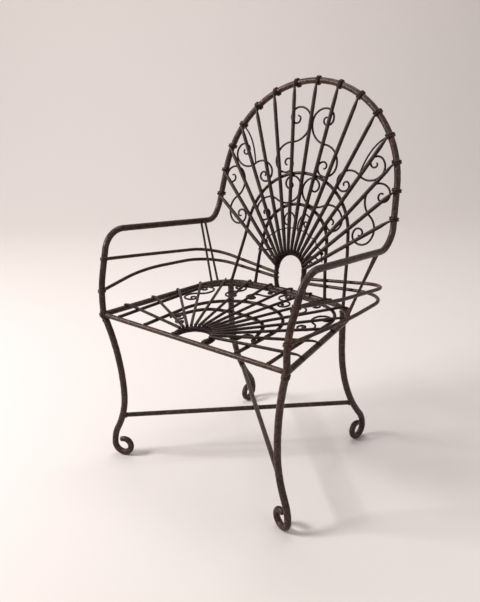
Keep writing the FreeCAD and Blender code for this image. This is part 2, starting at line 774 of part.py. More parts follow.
# Seat hub, arches and spokes, laid out in the same way on the level of the seat.

seat_hub = keep("seat_hub", rod_body(
    "seat_hub", seat_layer(seat_hub_level),
    round_arch("seat_hub_radius", "seat_hub_centre", size("seat_hub_radius"), behind_rail),
    "hub_rod", HUB_SIDES))
outer_slant = math.radians(size("seat_outer_arch_taper"))
outer_reach = behind_rail + half("arch_rod") * math.sin(outer_slant)
outer_drawing = horseshoe(outer_arch_half_width, 0.0, outer_reach, outer_arch_depth,
                          outer_arch_depth_cell, "seat_outer_arch_taper",
                          "seat_outer_arch_corner_radius", "seat_outer_arch_back_radius")
keep("seat_outer_arch", rod_body("seat_outer_arch", seat_layer(seat_arch_level), outer_drawing,
                                 "arch_rod", ARCH_SIDES))
mid_drawing = round_arch("seat_mid_arch_radius", "seat_mid_arch_centre", size("seat_mid_arch_half_width"),
                         behind_rail)
seat_mid_arch = rod_body("seat_mid_arch", seat_layer(seat_arch_level), mid_drawing, "arch_rod", ARCH_SIDES)
keep("seat_mid_arch", seat_mid_arch)
spring_reach = size("seat_inner_arch_setback")
spring_line = Part.makeLine(seat_point(0, spring_reach, seat_arch_level),
                            seat_point(size("seat_half_width"), spring_reach, seat_arch_level))
mid_side = crossing(placed_edges(seat_mid_arch), spring_line)
inner_slant = math.radians(size("seat_inner_arch_taper"))
arch_corner_reach = half("arch_rod") / math.cos(math.pi / ARCH_SIDES)
spring_half_width = mid_side.x - arch_corner_reach * (1 + math.cos(inner_slant)) - gap
inner_drawing = horseshoe(spring_half_width, spring_reach, spring_reach, size("seat_inner_arch_depth"),
                          cell("seat_inner_arch_depth"), "seat_inner_arch_taper",
                          "seat_inner_arch_corner_radius", "seat_inner_arch_back_radius")
keep("seat_inner_arch", rod_body("seat_inner_arch", seat_layer(seat_arch_level), inner_drawing,
                                 "arch_rod", ARCH_SIDES))

rim_half_length = Part.Wire(rim_edges).Length / 2
first_distance = size("seat_first_spoke") + half("frame_rod")
steps_per_side = (spoke_total - 1) // 2
step_sizes = [1 + (size("seat_fan_spread") - 1) * (1 - step / (steps_per_side - 1))
              for step in range(steps_per_side)]
for index in range(spoke_total):
    from_right = min(index, spoke_total - 1 - index)
    mirror = 1 if index <= (spoke_total - 1) / 2 else -1
    share = sum(step_sizes[:from_right]) / sum(step_sizes)
    on_rim = point_along(rim_edges, first_distance + (rim_half_length - first_distance) * share)
    outer = Vector(on_rim.x, on_rim.y, seat_spoke_level)
    angle = fan_angle("seat_hub_first_angle", from_right)
    inner = seat_point(size("seat_hub_radius") * math.cos(angle),
                       size("seat_hub_centre") + size("seat_hub_radius") * math.sin(angle), seat_spoke_level)
    run = (outer - inner).normalize()
    end = outer + run * size("seat_spoke_reach")
    label = f"seat_spoke_{index + 1:02d}"
    start_point = Vector(mirror * inner.x, inner.y, inner.z)
    end_point = Vector(mirror * end.x, end.y, end.z)
    keep(label, straight_rod(label, start_point, end_point, "spoke_rod", Vector(0, 0, 1)))

# Side rails: from the post round the outside of the arm and across the back to the hub's leg.


def frame_point_at(height):
    return crossing(right_side[:3], level_plane(height))


def hub_leg_point(height):
    return crossing(hub_edges[:3], level_plane(height))


def rail_edges(kind):
    # The rear run lies against the backs of the hub's leg and of the inner arch's leg.
    post = frame_point_at(size(kind + "_rail_height"))
    hub_height = size(kind + "_rail_hub_height")
    corner_height = size(kind + "_rail_corner_height")
    corner_across = size(kind + "_rail_corner_half_width")
    hub_leg = hub_leg_point(hub_height)
    share = (size("back_inner_arch_foot") - hub_leg.x) / (corner_across - hub_leg.x)
    arch_leg = crossing(inner_edges[:3], level_plane(hub_height + (corner_height - hub_height) * share))
    behind_hub = hub_leg.y + half("hub_rod") + half("side_rail_rod") + size("rail_gap")
    behind_arch = arch_leg.y + half("arch_rod") + half("side_rail_rod") + size("rail_gap")
    slope = (behind_arch - behind_hub) / (arch_leg.x - hub_leg.x)
    corner = Vector(corner_across, behind_hub + slope * (corner_across - hub_leg.x), corner_height)
    end = Vector(hub_leg.x, behind_hub, hub_height)
    bow = Vector(post.x + size(kind + "_rail_bow"), front_y + size("rail_bow_place"),
                 post.z - size(kind + "_rail_drop"))
    radii = [size("rail_bow_radius"), size(kind + "_rail_corner_radius")]
    return rounded_run([post, bow, corner, end], radii)


frame_rod = nodes["arm_and_back_hoop"].Shape
for kind in ("upper", "lower"):
    rail = swept_rod(rail_edges(kind), size("side_rail_rod"), Vector(1, 0, 0), RAIL_SIDES)
    rail = fitted(rail, [frame_rod, nodes["back_hub"].Shape])
    keep_shape(f"right_{kind}_arm_rail", rail)
    keep_shape(f"left_{kind}_arm_rail", mirrored(rail))

# Struts: two thin rods on each side from the rim up to the underside of the arm.


def arm_point_at(setback):
    return crossing(right_side[4:5], upright_plane(setback))


struts = []
for number, offset in enumerate((-half("strut_pitch"), half("strut_pitch")), start=1):
    foot = rim_point_beside(size("strut_foot_place") + offset)
    top = arm_point_at(size("strut_top_place") + offset)
    rod = straight_rod(f"strut_rod_{number}", foot, top, "strut_rod", Vector(0, 1, 0))
    doc.recompute()
    struts.append(fitted(rod.Shape, [seat_rim.Shape, frame_rod]))
keep_shape("right_arm_struts", Part.makeCompound(struts))
keep_shape("left_arm_struts", mirrored(Part.makeCompound(struts)))

# Scrolls behind the spokes of the back: an S of wire with a spiral eye at both ends.


def wound_half(arm, hand):
    # Half an S from its middle: each quarter turn is tighter than the one before by the same
    # share, and the half is as large as brings the centre of the last quarter to the arm's end.
    radius = 1.0
    centre = Vector(0, radius, 0)
    angle = -math.pi / 2
    stretches = []
    for quarter in range(int(size("scroll_quarters"))):
        if quarter > 0:
            tighter = radius * size("scroll_shrink")
            centre = centre + Vector(math.cos(angle), math.sin(angle), 0) * (radius - tighter)
            radius = tighter
        stretches.append(arc_points(centre, radius, angle, angle + math.pi / 2, SCROLL_CHORD))
        angle += math.pi / 2
    scale = arm.Length / centre.Length
    swing = math.atan2(arm.y, arm.x) - math.atan2(hand * centre.y, centre.x)
    turn = FreeCAD.Rotation(Vector(0, 0, 1), math.degrees(swing))
    return [turn.multVec(Vector(point.x, hand * point.y, 0)) * scale for point in joined_points(stretches)]


def scroll_points(upper_eye, lower_eye, hand):
    # An S from its lower eye to its upper one. The halves have the same shape and meet in line.
    middle = upper_eye + (lower_eye - upper_eye) * size("scroll_upper_share")
    upper = [middle + point for point in wound_half(upper_eye - middle, hand)]
    lower = [middle + point for point in wound_half(lower_eye - middle, hand)]
    return lower[:0:-1] + upper


def scroll_eye(kind, end):
    return Vector(size(f"{kind}_scroll_{end}_across"), size(f"{kind}_scroll_{end}_height"), 0)


scrolls = []
scroll_level = Vector(0, 0, back_scroll_level)
for kind, hand in (("top", -1), ("side", 1), ("low", -1), ("inner", -1)):
    flat_points = scroll_points(scroll_eye(kind, "upper"), scroll_eye(kind, "lower"), hand)
    points = [back_frame.multVec(point + scroll_level) for point in flat_points]
    edges = [Part.makeLine(start, end) for start, end in zip(points, points[1:])]
    scroll = swept_rod(edges, size("scroll_rod"), towards_sitter, SCROLL_SIDES)
    scrolls += [scroll, mirrored(scroll)]
keep_shape("back_scrolls", Part.makeCompound(scrolls))

# Checks, then one file for each piece.

doc.recompute()
for item in doc.Objects:
    if "Invalid" in item.State or "Error" in item.State:
        raise RuntimeError(f"{item.Label} failed: {item.State}")
for label, feature in nodes.items():
    if feature.Shape.isNull() or not feature.Shape.isValid():
        raise RuntimeError(f"{label} has no valid shape")
os.makedirs("parts", exist_ok=True)
for label, feature in nodes.items():
    feature.Shape.exportStep(f"parts/{label}.step")
whole = Part.makeCompound([feature.Shape for feature in nodes.values()])
box = whole.optimalBoundingBox(False)
print(f"{len(nodes)} pieces, {box.XLength:.1f} wide, {box.YLength:.1f} deep, {box.ZLength:.1f} high")
print(f"x {box.XMin:.2f} {box.XMax:.2f}, y {box.YMin:.2f} {box.YMax:.2f}, z {box.ZMin:.2f} {box.ZMax:.2f}")
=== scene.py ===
import bpy
import numpy as np
from mathutils import Matrix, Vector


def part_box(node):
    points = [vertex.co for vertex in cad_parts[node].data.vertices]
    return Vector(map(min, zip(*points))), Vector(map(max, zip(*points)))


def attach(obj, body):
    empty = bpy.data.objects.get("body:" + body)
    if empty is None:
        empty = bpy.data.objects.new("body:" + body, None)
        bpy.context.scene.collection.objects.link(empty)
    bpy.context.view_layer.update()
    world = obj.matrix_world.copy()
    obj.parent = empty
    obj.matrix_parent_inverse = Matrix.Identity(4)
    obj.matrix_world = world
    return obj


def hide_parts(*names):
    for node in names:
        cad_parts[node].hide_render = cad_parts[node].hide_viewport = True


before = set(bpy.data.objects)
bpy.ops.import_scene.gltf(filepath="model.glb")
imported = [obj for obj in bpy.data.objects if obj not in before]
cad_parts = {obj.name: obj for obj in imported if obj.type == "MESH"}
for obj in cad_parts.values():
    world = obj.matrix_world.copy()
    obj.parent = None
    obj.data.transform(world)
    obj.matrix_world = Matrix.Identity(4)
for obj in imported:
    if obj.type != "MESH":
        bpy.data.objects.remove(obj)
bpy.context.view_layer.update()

# Seat rim. One 15 mm iron rod bent into a horseshoe: slanted sides, round corners and a shallow
# bow across the back. It carries everything else, and its two ends stand under the arm posts.

SEAT_HEIGHT = 0.430
FRONT_Y = float(np.mean([corner[1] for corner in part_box("seat_front_rail")]))
RIM_RADIUS = 0.0075
RIM_HALF_WIDTH = 0.305
RIM_DEPTH = 0.438
RIM_TAPER = 9.7
RIM_CORNER = 0.120
RIM_BOW = 0.850
RIM_OVERHANG = 0.0085
SAMPLE_STEP = 0.005
UP = np.array([0.0, 0.0, 1.0])


def walked_length(line):
    """How far along the line each of its points lies: the running sum of the steps between them."""
    return np.concatenate([[0.0], np.cumsum(np.linalg.norm(np.diff(line, axis=0), axis=1))])


def evenly(line, step=SAMPLE_STEP):
    """Points at equal distances along a line: each coordinate read off against the length walked."""
    line = np.asarray(line, float)
    walked = walked_length(line)
    places = np.linspace(0.0, walked[-1], max(int(np.ceil(walked[-1] / step)), 1) + 1)
    return np.stack([np.interp(places, walked, line[:, axis]) for axis in range(3)], axis=1)


def arc(centre, radius, first, last, points=24):
    """centre + radius * (cos a, sin a) for a from the first angle to the last, in the XY plane."""
    angle = np.linspace(first, last, points)
    return np.asarray(centre) + radius * np.stack([np.cos(angle), np.sin(angle)], axis=1)


def horseshoe_line(half_width, front, depth, taper, corner, bow, height, setback=0.0):
    """Slanted side, corner arc and rear bow, each tangent to the next, then the same mirrored.
    The corner's centre is one radius inside the side, and on the bow's circle drawn in by as much."""
    slant = np.radians(taper)
    slope = np.tan(slant)
    bow_y = depth - bow
    offset = half_width + setback * slope - corner / np.cos(slant)
    square = 1 + slope**2
    linear = offset * slope + bow_y
    centre_y = (linear + np.sqrt(linear**2 - square * (offset**2 + bow_y**2 - (bow - corner) ** 2))) / square
    centre = np.array([offset - slope * centre_y, centre_y])
    join = np.arctan2(centre_y - bow_y, centre[0])
    side = np.array([[half_width + (setback - front) * slope, front]])
    right = np.vstack([side, arc(centre, corner, slant, join), arc((0, bow_y), bow, join, np.pi / 2)])
    flat = np.vstack([right, right[-2::-1] * [-1, 1]])
    return evenly(np.column_stack([flat[:, 0], flat[:, 1] + FRONT_Y, np.full(len(flat), height)]))


def directions(line, side):
    """At each point of a line: along it, across it (square to the line and to `side`), and upright."""
    tangent = np.gradient(line, axis=0)
    tangent /= np.linalg.norm(tangent, axis=1, keepdims=True)
    across = np.cross(tangent, np.broadcast_to(np.asarray(side, float), line.shape))
    across /= np.linalg.norm(across, axis=1, keepdims=True)
    return tangent, across, np.cross(across, tangent)


HAMMER_WAVE = 187
CROSS_WAVE = 71
FINE_WAVE = 317


def rod_surface(line, radius, side, around=16, marks=0.012, phase=0.0, cap=0.4):
    """A hand-forged round rod: point(s, t) = centre(s) + r(s, t) * (cos t * across + sin t * upright).
    r is the radius with shallow hammer marks: two crossed waves and a finer one, along and round the
    rod. The ends draw in over a low dome to a closed pole."""
    line = np.asarray(line, float)
    tangent, across, upright = directions(line, side)
    radius = np.broadcast_to(np.asarray(radius, float), (len(line),))
    turn = np.linspace(0, 2 * np.pi, around, endpoint=False)
    along = walked_length(line)[:, None]
    waves = np.sin(HAMMER_WAVE * along + 2 * turn + phase) * np.sin(CROSS_WAVE * along - turn + 2.3 * phase)
    waves = waves + 0.6 * np.sin(FINE_WAVE * along + 3 * turn + 1.9 * phase)
    reach = radius[:, None] * (1 + marks * waves)
    ring = np.cos(turn)[:, None] * across[:, None, :] + np.sin(turn)[:, None] * upright[:, None, :]
    rows = line[:, None, :] + reach[:, :, None] * ring
    dome = np.radians([65.0, 35.0])[:, None, None]
    first = (line[0] - tangent[0] * radius[0] * cap * np.sin(dome)
             + reach[0][:, None] * ring[0] * np.cos(dome))
    last = (line[-1] + tangent[-1] * radius[-1] * cap * np.sin(dome)
            + reach[-1][:, None] * ring[-1] * np.cos(dome))
    rows = np.concatenate([first, rows, last[::-1]])
    poles = np.stack([line[0] - tangent[0] * radius[0] * cap, line[-1] + tangent[-1] * radius[-1] * cap])
    count = len(rows)
    here = np.arange(around)
    beside = (here + 1) % around
    start = (np.arange(count - 1) * around)[:, None]
    quads = np.stack([start + here, start + around + here, start + around + beside, start + beside], axis=2)
    pole = np.full(around, count * around)
    end = (count - 1) * around
    fans = np.concatenate([np.stack([pole, here, beside], axis=1),
                           np.stack([pole + 1, end + beside, end + here], axis=1)])
    return np.vstack([rows.reshape(-1, 3), poles]), (quads.reshape(-1, 4), fans)


def iron_piece(name, surfaces, finish, slot, *nodes):
    """One piece made of closed surfaces that are welded together, standing for these CAD nodes."""
    faces = []
    used = 0
    for points, blocks in surfaces:
        for block in blocks:
            faces += (block + used).tolist()
        used += len(points)
    mesh = bpy.data.meshes.new(name)
    mesh.from_pydata(np.vstack([points for points, blocks in surfaces]).tolist(), [], faces)
    mesh.shade_smooth()
    mesh.materials.append(finish)
    piece = bpy.data.objects.new(name, mesh)
    bpy.context.scene.collection.objects.link(piece)
    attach(piece, "root")
    if nodes:
        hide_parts(*nodes)
    return piece


def node_group(name, inputs, outputs):
    """An empty shader group with the named sockets, and its two end nodes."""
    group = bpy.data.node_groups.new(name, "ShaderNodeTree")
    for label, kind in inputs:
        group.interface.new_socket(label, in_out="INPUT", socket_type=kind)
    for label, kind in outputs:
        group.interface.new_socket(label, in_out="OUTPUT", socket_type=kind)
    return group, group.nodes.new("NodeGroupInput"), group.nodes.new("NodeGroupOutput")


def place_noise(tree, position, scale, detail, roughness):
    """Soft noise of one scale, read at the position."""
    noise = tree.nodes.new("ShaderNodeTexNoise")
    noise.inputs["Scale"].default_value = scale
    noise.inputs["Detail"].default_value = detail
    noise.inputs["Roughness"].default_value = roughness
    tree.links.new(position, noise.inputs["Vector"])
    return noise.outputs["Fac"]


def stretch(tree, value, low, high, to_low=0.0, to_high=1.0):
    """The value carried from one range to another, and held at the ends."""
    spread = tree.nodes.new("ShaderNodeMapRange")
    for number, bound in enumerate((low, high, to_low, to_high), start=1):
        spread.inputs[number].default_value = bound
    tree.links.new(value, spread.inputs[0])
    return spread.outputs[0]


def combine(tree, operation, first, second):
    """One sum, product or other pair of two values, each a socket or a plain number."""
    node = tree.nodes.new("ShaderNodeMath")
    node.operation = operation
    for socket, value in zip(node.inputs, (first, second)):
        if isinstance(value, (int, float)):
            socket.default_value = value
        else:
            tree.links.new(value, socket)
    return node.outputs[0]


def plus(tree, first, second):
    return combine(tree, "ADD", first, second)


def times(tree, first, second):
    return combine(tree, "MULTIPLY", first, second)


def blend_colours(tree, share, first, second):
    """The first colour where the share is 0, the second where it is 1."""
    node = tree.nodes.new("ShaderNodeMix")
    node.data_type = "RGBA"
    for socket, value in ((node.inputs[0], share), (node.inputs[6], first), (node.inputs[7], second)):
        tree.links.new(value, socket)
    return node.outputs[2]


def hammered_skin():
    """Hammer facets, slow waves and the grain of thin paint, as one height. Its mask of high spots is
    fine flecks, slightly stronger along the edges of the facets."""
    group, start, end = node_group("hammered_skin", [("Facet Size", "NodeSocketFloat")],
                                   [("Height", "NodeSocketFloat"), ("High Spots", "NodeSocketFloat")])
    place = group.nodes.new("ShaderNodeTexCoord").outputs["Object"]
    facets = group.nodes.new("ShaderNodeTexVoronoi")
    facets.feature = "SMOOTH_F1"
    facets.inputs["Smoothness"].default_value = 0.6
    group.links.new(place, facets.inputs["Vector"])
    group.links.new(start.outputs["Facet Size"], facets.inputs["Scale"])
    slow = place_noise(group, place, 70.0, 3.0, 0.5)
    grain = place_noise(group, place, 900.0, 4.0, 0.6)
    bowl = stretch(group, facets.outputs["Distance"], 0.0, 0.9)
    height = plus(group, times(group, bowl, 0.55), times(group, grain, 0.22))
    height = plus(group, height, times(group, slow, 0.4))
    group.links.new(height, end.inputs["Height"])
    flecks = times(group, place_noise(group, place, 150.0, 6.0, 0.68), 0.85)
    flecks = plus(group, flecks, times(group, bowl, 0.15))
    group.links.new(stretch(group, flecks, 0.44, 0.68), end.inputs["High Spots"])
    return group


def rubbed_paint():
    """Dark paint that is rubbed to bare brown iron on the high spots, more so in broad patches, and
    stained with rust where water stood: two colour mixes and a roughness that follows them."""
    colour = "NodeSocketColor"
    number = "NodeSocketFloat"
    group, start, end = node_group(
        "rubbed_paint",
        [("Paint", colour), ("Rubbed", colour), ("Rust", colour), ("High Spots", number), ("Wear", number)],
        [("Colour", colour), ("Roughness", number)])
    place = group.nodes.new("ShaderNodeTexCoord").outputs["Object"]
    patches = stretch(group, place_noise(group, place, 11.0, 5.0, 0.62), 0.44, 0.66)
    specks = stretch(group, place_noise(group, place, 240.0, 5.0, 0.7), 0.50, 0.66)
    stain = stretch(group, place_noise(group, place, 27.0, 6.0, 0.65), 0.52, 0.70)
    stain = times(group, stain, 0.75)
    worn = times(group, start.outputs["High Spots"], start.outputs["Wear"])
    worn = times(group, worn, plus(group, 0.55, times(group, patches, 0.45)))
    worn = combine(group, "MINIMUM", plus(group, worn, times(group, specks, 0.18)), 1.0)
    base = blend_colours(group, stain, start.outputs["Paint"], start.outputs["Rust"])
    group.links.new(blend_colours(group, worn, base, start.outputs["Rubbed"]), end.inputs["Colour"])
    dull = plus(group, 0.34, times(group, stain, 0.28))
    dull = plus(group, dull, times(group, patches, 0.10))
    dull = combine(group, "SUBTRACT", dull, times(group, worn, 0.10))
    group.links.new(dull, end.inputs["Roughness"])
    return group


HAMMERED_SKIN = hammered_skin()
RUBBED_PAINT = rubbed_paint()
BUMP_STRENGTH = 0.7
PAINT_METALLIC = 0.30
PAINT_SPECULAR = 0.25


def painted_iron(name, paint, rubbed, rust, facet_size, wear, relief):
    """Forged iron under thin bronze-brown paint."""
    material = bpy.data.materials.new(name)
    material.use_nodes = True
    tree = material.node_tree
    shader = tree.nodes["Principled BSDF"]
    skin = tree.nodes.new("ShaderNodeGroup")
    skin.node_tree = HAMMERED_SKIN
    skin.inputs["Facet Size"].default_value = facet_size
    paint_coat = tree.nodes.new("ShaderNodeGroup")
    paint_coat.node_tree = RUBBED_PAINT
    for label, value in (("Paint", paint), ("Rubbed", rubbed), ("Rust", rust)):
        paint_coat.inputs[label].default_value = (*value, 1.0)
    paint_coat.inputs["Wear"].default_value = wear
    tree.links.new(skin.outputs["High Spots"], paint_coat.inputs["High Spots"])
    bump = tree.nodes.new("ShaderNodeBump")
    bump.inputs["Strength"].default_value = BUMP_STRENGTH
    bump.inputs["Distance"].default_value = relief
    tree.links.new(skin.outputs["Height"], bump.inputs["Height"])
    tree.links.new(paint_coat.outputs["Colour"], shader.inputs["Base Color"])
    tree.links.new(paint_coat.outputs["Roughness"], shader.inputs["Roughness"])
    tree.links.new(bump.outputs["Normal"], shader.inputs["Normal"])
    shader.inputs["Metallic"].default_value = PAINT_METALLIC
    shader.inputs["Specular IOR Level"].default_value = PAINT_SPECULAR
    return material


frame_paint = painted_iron("bronze_brown_frame_paint", paint=(0.023, 0.0118, 0.0090),
                           rubbed=(0.176, 0.108, 0.083), rust=(0.072, 0.031, 0.016),
                           facet_size=120.0, wear=0.66, relief=0.0015)

rim_line = horseshoe_line(RIM_HALF_WIDTH, -RIM_OVERHANG, RIM_DEPTH, RIM_TAPER, RIM_CORNER, RIM_BOW,
                          SEAT_HEIGHT)
iron_piece("seat_rim_rod", [rod_surface(rim_line, RIM_RADIUS, UP, around=20)], frame_paint, "frame_iron",
           "seat_rim")

# Front rail. A straight 13 mm iron rod between the two ends of the rim, welded to their inner sides
# with a bead of weld at each end. The seat's hub and two of its arches are welded to its back.

RAIL_RADIUS = 0.0065
RAIL_WELD = 0.0019
WELD_SINK = 0.001


def weld_bead(centre, axis, radius, thickness, around=28, section=8, phase=0.0):
    """A lumpy ring of weld metal: a torus round the axis whose thickness rises and falls along it."""
    axis = np.asarray(axis, float) / np.linalg.norm(axis)
    aside = np.cross(axis, [0.31, 0.86, 0.41])
    aside /= np.linalg.norm(aside)
    other = np.cross(axis, aside)
    turn = np.linspace(0, 2 * np.pi, around, endpoint=False)[:, None, None]
    spin = np.linspace(0, 2 * np.pi, section, endpoint=False)[None, :, None]
    thick = thickness * (1 + 0.22 * np.sin(5 * turn + phase) + 0.12 * np.sin(9 * turn + 2.1 * phase))
    outward = np.cos(turn) * aside + np.sin(turn) * other
    grid = np.asarray(centre) + (radius + thick * np.cos(spin)) * outward + thick * np.sin(spin) * axis
    row = np.arange(around)[:, None]
    column = np.arange(section)[None, :]
    after = (row + 1) % around
    beside = (column + 1) % section
    quads = np.stack([row * section + column, after * section + column,
                      after * section + beside, row * section + beside], axis=2)
    return grid.reshape(-1, 3), (quads.reshape(-1, 4),)


def straight_line(start, end, step=0.008):
    """Points at equal distances on the straight run between two places."""
    return evenly(np.stack([np.asarray(start, float), np.asarray(end, float)]), step)


rail_end = RIM_HALF_WIDTH - RIM_RADIUS / np.cos(np.radians(RIM_TAPER))
front_rail = [rod_surface(straight_line((-rail_end, FRONT_Y, SEAT_HEIGHT), (rail_end, FRONT_Y, SEAT_HEIGHT)),
                          RAIL_RADIUS, UP, around=20, phase=0.7)]
for side in (-1, 1):
    front_rail.append(weld_bead((side * (rail_end - WELD_SINK), FRONT_Y, SEAT_HEIGHT), (1, 0, 0), RAIL_RADIUS,
                                RAIL_WELD, phase=side))
iron_piece("front_rail_rod", front_rail, frame_paint, "frame_iron", "seat_front_rail")

# Legs. Each is one 18 mm iron rod in an upright plane, welded under the rim. It bows towards the
# chair, sweeps outwards and ends in a foot that is curled up on the inside, drawn out at its tip.

LEG_RADIUS = 0.009
FOOT_FLAT = 0.0006
RING_RADIUS = 0.026
INNER_RING_RADIUS = 0.023
CURL_RADIUS = 0.0195
CURL_END = np.radians(118.0)
LEG_TOP = SEAT_HEIGHT - RIM_RADIUS
LEG_STEP = 0.0035
LEG_WELD = 0.0020
FRONT_LEG = {"bow": 0.042, "bow_height": 0.200, "splay": 0.0005, "lower_bend": 0.111}
FRONT_LEG_TURN = 20
REAR_LEG = {"bow": 0.003, "bow_height": 0.325, "splay": 0.105, "lower_bend": 0.070}
REAR_LEG_TURN = -85
REAR_LEG_ACROSS = 0.197


def leg_line(top_place, inward, bow, bow_height, splay, lower_bend):
    """Six arcs, each tangent to the next, from the tip of the foot's curl to under the rim. X runs
    inwards from under the leg's top. The rod is upright at the outside of the ring and at the bow."""
    ring_height = LEG_RADIUS - FOOT_FLAT + RING_RADIUS
    rise = bow_height - ring_height
    turn = 2 * np.arctan((bow + splay) / rise)
    middle = rise / np.sin(turn) - lower_bend
    above = LEG_TOP - bow_height
    upper = ((above + LEG_RADIUS) ** 2 + bow**2) / (2 * bow)
    ring = np.array([RING_RADIUS - splay, ring_height])
    inner = ring + [0, INNER_RING_RADIUS - RING_RADIUS]
    curl = inner + [INNER_RING_RADIUS - CURL_RADIUS, 0]
    flat = np.vstack([
        arc(curl, CURL_RADIUS, CURL_END, 0),
        arc(inner, INNER_RING_RADIUS, 0, -np.pi / 2),
        arc(ring, RING_RADIUS, -np.pi / 2, -np.pi),
        arc((lower_bend - splay, ring_height), lower_bend, np.pi, np.pi - turn),
        arc((bow - middle, bow_height), middle, -turn, 0),
        arc((bow - upper, bow_height), upper, 0, np.arcsin(above / upper)),
    ])
    points = np.asarray(top_place) + flat[:, :1] * np.asarray(inward) + flat[:, 1:] * UP
    return evenly(points, LEG_STEP)


def inward_from(side, turn):
    """The level direction from a leg towards the middle of the chair, turned by this many degrees."""
    angle = np.radians(turn)
    return np.array([-side * np.cos(angle), np.sin(angle), 0.0])


def rim_rear_y(across):
    """Where the rim's rear bow lies, at this distance from the middle."""
    rear = rim_line[(rim_line[:, 1] > FRONT_Y + 0.30) & (rim_line[:, 0] >= 0)]
    return float(np.interp(-abs(across), -rear[:, 0], rear[:, 1]))


leg_lines = {}
for side, word in ((-1, "left"), (1, "right")):
    leg_lines["front", word] = leg_line((side * RIM_HALF_WIDTH, FRONT_Y, 0),
                                        inward_from(side, FRONT_LEG_TURN), **FRONT_LEG)
    leg_lines["rear", word] = leg_line((side * REAR_LEG_ACROSS, rim_rear_y(REAR_LEG_ACROSS), 0),
                                       inward_from(side, REAR_LEG_TURN), **REAR_LEG)
for (place, word), line in leg_lines.items():
    count = len(line)
    drawn_out = np.interp(np.arange(count), [0, 6, count * 0.3], [0.80, 0.94, 1.0])
    plane = np.cross(line[count // 3] - line[0], line[2 * count // 3] - line[0])
    points, faces = rod_surface(line, LEG_RADIUS * drawn_out, plane, around=20, marks=0.016,
                                phase=len(place + word))
    points[:, 2] = np.maximum(points[:, 2], 0.0)    # hammered flat where it stands
    collar = weld_bead(line[-1] - UP * WELD_SINK, UP, LEG_RADIUS, LEG_WELD, phase=len(word))
    iron_piece(f"{place}_{word}_leg_rod", [(points, faces), collar], frame_paint, "frame_iron",
               f"{place}_{word}_leg")

# Stretchers. Two 13 mm rods cross under the seat from front leg to opposite rear leg. One lies on
# the other, with a blob of weld between them and a bead round each end.

STRETCHER_RADIUS = 0.0065
STRETCHER_HEIGHT = 0.128
STRETCHER_WELD = 0.0022
CROSSING_BLOB = {"radius": 0.0050, "thickness": 0.0026}
CURL_TOP = 0.06


def at_height(line, height):
    """The point of a leg's line at this height, over its curled foot."""
    rising = line[np.argsort(line[:, 2])]
    rising = rising[rising[:, 2] > CURL_TOP]
    return np.array([np.interp(height, rising[:, 2], rising[:, axis]) for axis in range(3)])


stretchers = (("lower", "left", "right", STRETCHER_HEIGHT),
              ("upper", "right", "left", STRETCHER_HEIGHT + 2 * STRETCHER_RADIUS))
for word, front_side, rear_side, height in stretchers:
    front = at_height(leg_lines["front", front_side], height)
    rear = at_height(leg_lines["rear", rear_side], height)
    run = (rear - front) / np.linalg.norm(rear - front)
    start = front + run * LEG_RADIUS
    end = rear - run * LEG_RADIUS
    surfaces = [rod_surface(straight_line(start, end), STRETCHER_RADIUS, UP, phase=height * 40)]
    surfaces += [weld_bead(place, run, STRETCHER_RADIUS, STRETCHER_WELD, phase=height * 30)
                 for place in (start, end)]
    if word == "lower":
        lower_run = (start, end)
    else:
        first, last = lower_run
        matrix = np.array([(end - start)[:2], -(last - first)[:2]]).T
        share = np.linalg.solve(matrix, (first - start)[:2])[0]
        crossing = start + (end - start) * share - UP * STRETCHER_RADIUS
        surfaces.append(weld_bead(crossing, UP, **CROSSING_BLOB, section=10, phase=0.4))
    iron_piece(f"{word}_stretcher_rod", surfaces, frame_paint, "frame_iron", f"{word}_stretcher")

# Arms and back hoop. One 17 mm iron rod is bent in a single piece: up a post, back along the arm,
# up the side of the back, over the top and down the other side. Both posts are welded on the rim.

HOOP_ROD_RADIUS = 0.0085
BACK_LEAN = np.radians(15.0)
HOOP_RADIUS = 0.287
HOOP_CENTRE = 0.300
HOOP_FOOT_UP = 0.205
HOOP_FOOT_HALF_WIDTH = 0.296
POST_STRAIGHT = 0.068
ARM_FRONT = np.array([0.320, FRONT_Y + 0.052, 0.652])
ARM_REAR = np.array([0.293, FRONT_Y + 0.445, 0.600])
ARM_BENDS = [0.250, 0.065, 0.044, 0.080]
POST_WELD = 0.0020
BACK_SETBACK = 0.014
RIM_TOP = SEAT_HEIGHT + RIM_RADIUS
BACK_ORIGIN = np.array([0.0, FRONT_Y + RIM_DEPTH - BACK_SETBACK, RIM_TOP])
UP_THE_BACK = np.array([0.0, np.sin(BACK_LEAN), np.cos(BACK_LEAN)])
TO_SITTER = np.array([0.0, -np.cos(BACK_LEAN), np.sin(BACK_LEAN)])


def on_back(across, up, level=0.0):
    """A place in the back's own leaning plane: across, up the lean, and out towards the sitter."""
    across, up, level = np.broadcast_arrays(across, up, level)
    flat = across[..., None] * np.array([1.0, 0.0, 0.0])
    return BACK_ORIGIN + flat + up[..., None] * UP_THE_BACK + level[..., None] * TO_SITTER


def round_on_back(radius, centre, angle, level=0.0):
    """Places on a circle in the back's plane, whose centre is this far up the lean."""
    return on_back(radius * np.cos(angle), centre + radius * np.sin(angle), level)


